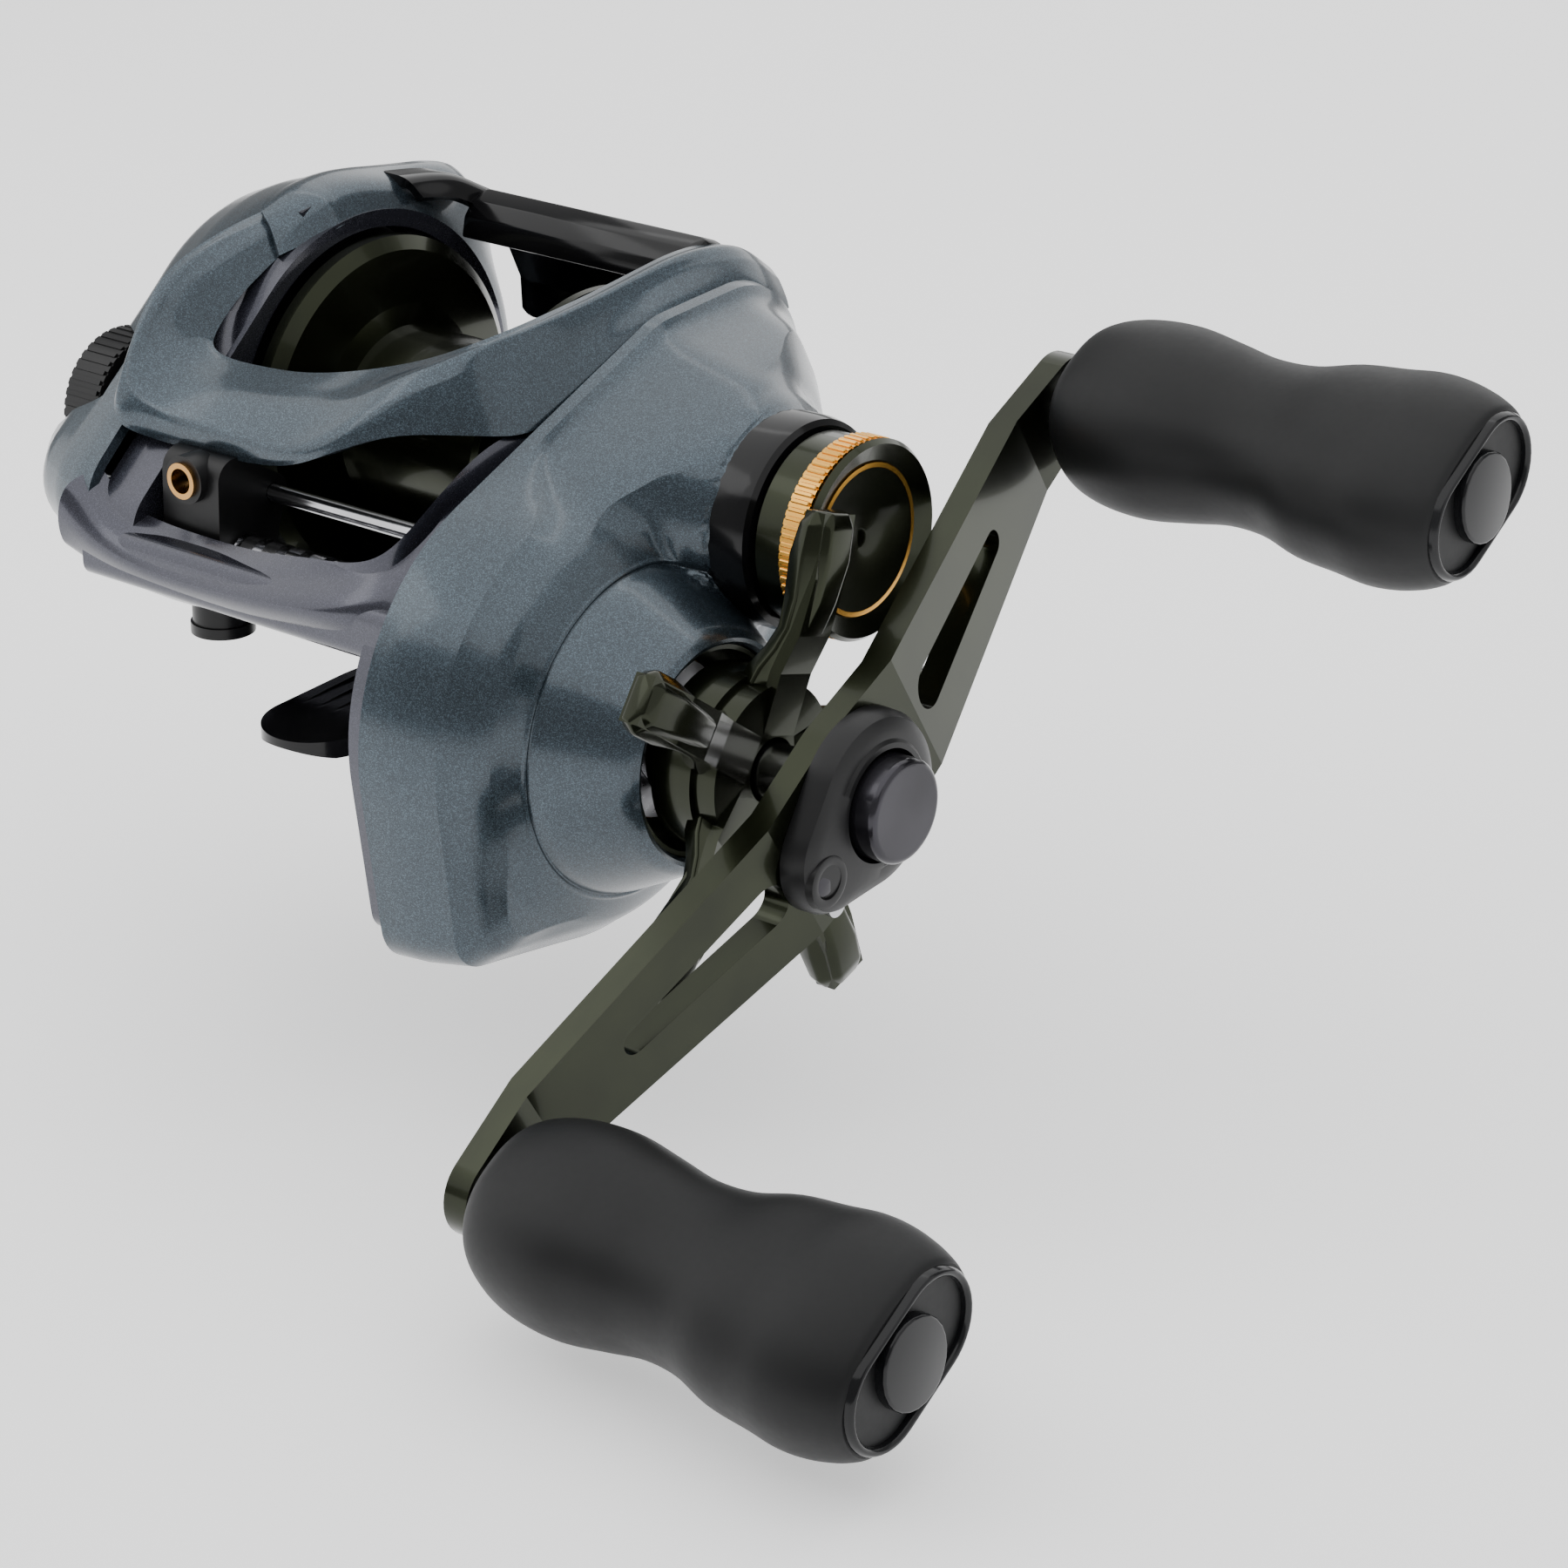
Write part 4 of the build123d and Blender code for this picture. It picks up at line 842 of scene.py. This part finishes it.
class ThumbBar(bpy.types.Operator):
    """Thumb bar: faceted top with a guard that curves down behind the spool"""

    bl_idname = "reel.thumb_bar"
    bl_label = "Thumb bar"

    def execute(self, context):
        made = finishes()
        outline = [
            (11.4, 36.0), (11.8, 38.0), (12.9, 39.3), (14.7, 40.0), (16.8, 39.2), (18.6, 37.7),
            (18.7, 36.2), (19.9, 33.8), (20.8, 30.2), (21.0, 26.4), (20.2, 26.2), (20.0, 29.8),
            (17.8, 34.4), (16.2, 35.4), (13.6, 35.3),
        ]
        places = (-14.1, -13.7, -13.0, 12.6, 13.2, 13.5)
        shrink = (0.90, 0.97, 1.0, 1.0, 0.97, 0.90)
        middle = np.mean(outline, axis=0)
        points = []
        for x, share in zip(places, shrink):
            for spot in outline:
                y, z = middle + (np.array(spot) - middle) * share
                points.append((x, y, z))
        count = len(outline)
        faces = grid_faces(len(places), count, closed_columns=True)
        faces.append(tuple(range(count)))
        faces.append(tuple(range((len(places) - 1) * count, len(places) * count)))
        bar = new_piece("thumb_bar_skin", points, faces, made["black_gloss"], 18.0)
        round_edges(bar, 0.18, 2, 18.0)
        soften(bar, 25.0)
        settle(bar, "thumb_bar", "black_gloss", "thumb_bar")
        # bracket at the bar's palm end, lying on the rim
        rails = [
            [(-18.6, 6.0, 42.6), (-17.8, 11.5, 41.8), (-17.0, 16.5, 39.4)],
            [(-15.6, 6.2, 42.3), (-14.6, 11.5, 41.6), (-14.0, 16.0, 39.4)],
            [(-14.2, 7.0, 40.6), (-13.6, 11.0, 39.8), (-13.2, 15.0, 37.6)],
        ]
        bracket = ribbon("thumb_bar_bracket", rails, 40, 17, made["black_gloss"], 0.9, -1.0)
        settle(bracket, "frame", "black_gloss")
        return {"FINISHED"}


def toothed_ring(name, material, axis, x, radius, teeth, size):
    """Teeth set round a circle about a line along X; size is radial, tangential, axial."""
    group = bpy.data.node_groups.new(name, "GeometryNodeTree")
    face = group.interface
    sockets = {}
    for key, kind, value in (
        ("Teeth", "NodeSocketInt", teeth), ("Radius", "NodeSocketFloat", radius * MM),
        ("Size", "NodeSocketVector", tuple(v * MM for v in size)),
    ):
        socket = face.new_socket(key, in_out="INPUT", socket_type=kind)
        sockets[key] = (socket.identifier, value)
    face.new_socket("Geometry", in_out="OUTPUT", socket_type="NodeSocketGeometry")

    def node(kind, **links):
        made = group.nodes.new(kind)
        for key, value in links.items():
            target = made.inputs[key.replace("_", " ")]
            if isinstance(value, bpy.types.NodeSocket):
                group.links.new(value, target)
            else:
                target.default_value = value
        return made

    start = node("NodeGroupInput")
    circle = node(
        "GeometryNodeMeshCircle", Vertices=start.outputs["Teeth"], Radius=start.outputs["Radius"]
    )
    tooth = node("GeometryNodeMeshCube", Size=start.outputs["Size"])
    spot = node("GeometryNodeInputPosition")
    aim = node("FunctionNodeAlignRotationToVector", Vector=spot.outputs[0])
    aim.axis = "X"
    spread = node(
        "GeometryNodeInstanceOnPoints", Points=circle.outputs[0], Instance=tooth.outputs[0],
        Rotation=aim.outputs[0],
    )
    turn = node(
        "GeometryNodeTransform", Geometry=spread.outputs[0],
        Translation=(x * MM, axis[0] * MM, axis[1] * MM), Rotation=(0.0, math.pi / 2, 0.0),
    )
    real = node("GeometryNodeRealizeInstances", Geometry=turn.outputs[0])
    coat = node("GeometryNodeSetMaterial", Geometry=real.outputs[0], Material=material)
    group.links.new(coat.outputs[0], node("NodeGroupOutput").inputs[0])
    piece = bpy.data.objects.new(name, bpy.data.meshes.new(name))
    bpy.context.scene.collection.objects.link(piece)
    repeat = piece.modifiers.new("teeth", "NODES")
    repeat.node_group = group
    for identifier, value in sockets.values():
        repeat[identifier] = value
    apply_modifiers(piece)
    if not piece.data.materials:
        piece.data.materials.append(material)
    return piece


class Knurls(bpy.types.Operator):
    """Fine teeth of the cast control ring and ribs of the brake dial"""

    bl_idname = "reel.knurls"
    bl_label = "Knurls"

    def execute(self, context):
        made, shape = finishes(), context.scene.reel_shape
        ring = toothed_ring(
            "cast_ring_teeth", made["gold_anodised"], SPOOL, 41.95, 8.75, shape.ring_teeth,
            (0.36, 0.42, 1.9),
        )
        round_edges(ring, 0.08, 1, 30.0)
        settle(ring, "cast_control", "gold_anodised")
        dial = toothed_ring(
            "brake_dial_ribs", made["black_plastic"], DIAL, -28.0, 6.75, shape.dial_teeth,
            (0.5, 0.46, 3.6),
        )
        settle(dial, "brake_dial", "black_plastic")
        return {"FINISHED"}


HUB_BACK_X = 54.02
NUT_HOLE = 4.75


class Hub(bpy.types.Operator):
    """Domed cover over the handle nut, with the lobe for its retaining screw, a raised lip round the
    nut hole, and the screw with its rim
    """

    bl_idname = "reel.hub"
    bl_label = "Hub cover"

    def execute(self, context):
        made = finishes()
        turns = 120
        angles = np.linspace(0, 2 * np.pi, turns, endpoint=False)
        reach = hull_reach([(*DRIVE, 7.9), (*arm_point(0, -5.9, 0)[1:], 5.2)], DRIVE, angles)
        rows = []
        rims = [(HUB_BACK_X, 0 * reach + NUT_HOLE)]
        rims += [
            (x, reach - inset)
            for x, inset in (
                (HUB_BACK_X, 0.0), (55.4, 0.05), (56.2, 0.5), (56.65, 1.4), (56.75, 2.2)
            )
        ]
        rims += [(57.0, 5.4), (57.05, 4.95), (56.4, NUT_HOLE)]
        for x, radii in rims:
            rows.append(np.c_[
                x + 0 * angles, DRIVE[0] + radii * np.cos(angles), DRIVE[1] + radii * np.sin(angles)
            ])
        cover = new_piece(
            "hub_cover_skin", np.vstack(rows),
            grid_faces(len(rows), turns, closed_rows=True, closed_columns=True),
            made["black_plastic"], 28.0,
        )
        settle(cover, "handle", "black_plastic", "nut_retainer")
        spot = arm_point(0, -8.5, 0.0)[1:]
        rim = turned(
            "hub_screw_rim", spot, [(56.2, 1.4), (56.9, 1.5), (57.0, 2.0), (56.9, 2.3), (56.2, 2.4)],
            made["black_plastic"], 48,
        )
        settle(rim, "handle", "black_plastic")
        screw = turned(
            "hub_screw", spot,
            [(56.3, 0.02), (56.8, 0.02), (56.75, 1.0), (56.65, 1.35), (56.3, 1.35)],
            made["gunmetal"], 32,
        )
        settle(screw, "handle", "gunmetal")
        return {"FINISHED"}


# Star arm sections: distance from the axis, half width, inner and outer face along X
STAR_SECTIONS = [
    (7.0, 3.0, 41.6, 44.9), (8.6, 2.7, 42.0, 45.4), (10.4, 2.35, 43.2, 46.2),
    (12.4, 2.3, 44.2, 46.9), (15.0, 2.4, 44.3, 47.6), (18.6, 2.9, 44.4, 48.0),
    (21.4, 2.9, 44.9, 47.8), (22.6, 2.2, 45.4, 47.3),
]
STAR_ARMS = 5
STAR_TILT = 2.0


class StarArms(bpy.types.Operator):
    """Faceted arms of the star drag, broader towards their tips"""

    bl_idname = "reel.star_arms"
    bl_label = "Star arms"

    def execute(self, context):
        points, faces = [], []
        for arm in range(STAR_ARMS):
            turn = math.radians(STAR_TILT + 360 * arm / STAR_ARMS)
            start = len(points)
            for radius, half, low, high in STAR_SECTIONS:
                for side, x in (
                    (-0.85, low), (-1.0, 0.5 * (low + high)), (-0.5, high), (0.5, high),
                    (1.0, 0.5 * (low + high)), (0.85, low),
                ):
                    out = side * half
                    points.append((
                        x,
                        DRIVE[0] + radius * math.cos(turn) - out * math.sin(turn),
                        DRIVE[1] + radius * math.sin(turn) + out * math.cos(turn),
                    ))
            rows = len(STAR_SECTIONS)
            for face in grid_faces(rows, 6, closed_columns=True):
                faces.append(tuple(start + k for k in face))
            faces.append(tuple(start + k for k in range(6)))
            faces.append(tuple(start + (rows - 1) * 6 + k for k in range(6)))
        arms = new_piece("star_arm_skins", points, faces, finishes()["olive_anodised"], 20.0)
        round_edges(arms, 0.28, 3, 14.0)
        soften(arms, 30.0)
        settle(arms, "star", "olive_anodised")
        return {"FINISHED"}


class Stage(bpy.types.Operator):
    """Pale floor, soft lights and the camera"""

    bl_idname = "reel.stage"
    bl_label = "Stage"

    def execute(self, context):
        look = context.scene.stage_look
        floor_shade = Shade("floor")
        floor_shade.feed(
            Base_Color=floor_shade.blend(
                floor_shade.noise(6.0, 3.0), (0.86, 0.86, 0.87), (0.90, 0.90, 0.90)
            ),
            Roughness=0.7,
            Emission_Color=(1.0, 1.0, 1.0, 1.0),
            Emission_Strength=0.55,
        )
        bpy.ops.mesh.primitive_plane_add(size=6.0, location=(0, 0, look.ground))
        floor = context.object
        floor.name = "floor"
        floor.data.materials.append(floor_shade.material)
        for name, size, power, place, aim in (
            ("key", 0.95, look.key, (0.02, -0.12, 0.55), (0, 0, 0)),
            ("left", 0.60, 1.6, (-0.45, -0.25, 0.25), (0, 0, 0.01)),
            ("right", 0.55, 0.7, (0.50, 0.10, 0.22), (0.04, 0, 0.01)),
            ("back", 0.70, 2.2, (-0.10, 0.50, 0.40), (0, 0, 0.01)),
        ):
            data = bpy.data.lights.new(name, "AREA")
            data.energy = power
            data.size = size
            light = bpy.data.objects.new(name, data)
            light.location = place
            light.rotation_mode = "QUATERNION"
            light.rotation_quaternion = (Vector(aim) - Vector(place)).to_track_quat("-Z", "Y")
            context.scene.collection.objects.link(light)
        world = bpy.data.worlds.new("world")
        world.use_nodes = True
        world.node_tree.nodes["Background"].inputs[0].default_value = (1.0, 1.0, 1.0, 1.0)
        world.node_tree.nodes["Background"].inputs[1].default_value = 0.40
        context.scene.world = world
        camera = bpy.data.objects.new("camera", bpy.data.cameras.new("camera"))
        camera.data.lens = 104.009
        camera.data.sensor_width = 36.0
        camera.data.clip_start = 0.01
        camera.data.clip_end = 20.0
        right = Vector((0.77614, 0.63056, 0.00012)).normalized()
        back = Vector((0.58158, -0.71592, 0.38630)).normalized()
        up = back.cross(right)
        turn = Matrix((right, up, back)).transposed().to_4x4()
        camera.matrix_world = Matrix.Translation((0.26790, -0.28750, 0.15216)) @ turn
        context.scene.collection.objects.link(camera)
        context.scene.camera = camera
        return {"FINISHED"}


class ReelPanel(bpy.types.Panel):
    """Lists the pieces and their settings"""

    bl_idname = "VIEW3D_PT_reel"
    bl_label = "Baitcasting reel"
    bl_space_type = "VIEW_3D"
    bl_region_type = "UI"
    bl_category = "Reel"

    def draw(self, context):
        for kind in PIECES:
            self.layout.operator(kind.bl_idname)
        for group in (
            context.scene.reel_shape, context.scene.reel_colours, context.scene.stage_look
        ):
            for name in group.__annotations__:
                self.layout.prop(group, name)


GROUPS = {"reel_shape": ReelShape, "reel_colours": ReelColours, "stage_look": StageLook}
PIECES = (
    CarriedOver, GearCover, Hood, FrontBar, PalmPlate, Knobs, ThumbBar, Knurls, Hub, StarArms,
    Stage,
)


def register():
    for kind in (*GROUPS.values(), *PIECES, ReelPanel):
        bpy.utils.register_class(kind)
    for name, kind in GROUPS.items():
        setattr(bpy.types.Scene, name, bpy.props.PointerProperty(type=kind))


def unregister():
    for name in GROUPS:
        delattr(bpy.types.Scene, name)
    for kind in reversed((*GROUPS.values(), *PIECES, ReelPanel)):
        bpy.utils.unregister_class(kind)


def main():
    register()
    for kind in PIECES:
        group, name = kind.bl_idname.split(".")
        getattr(getattr(bpy.ops, group), name)()


if __name__ == "__main__":
    main()
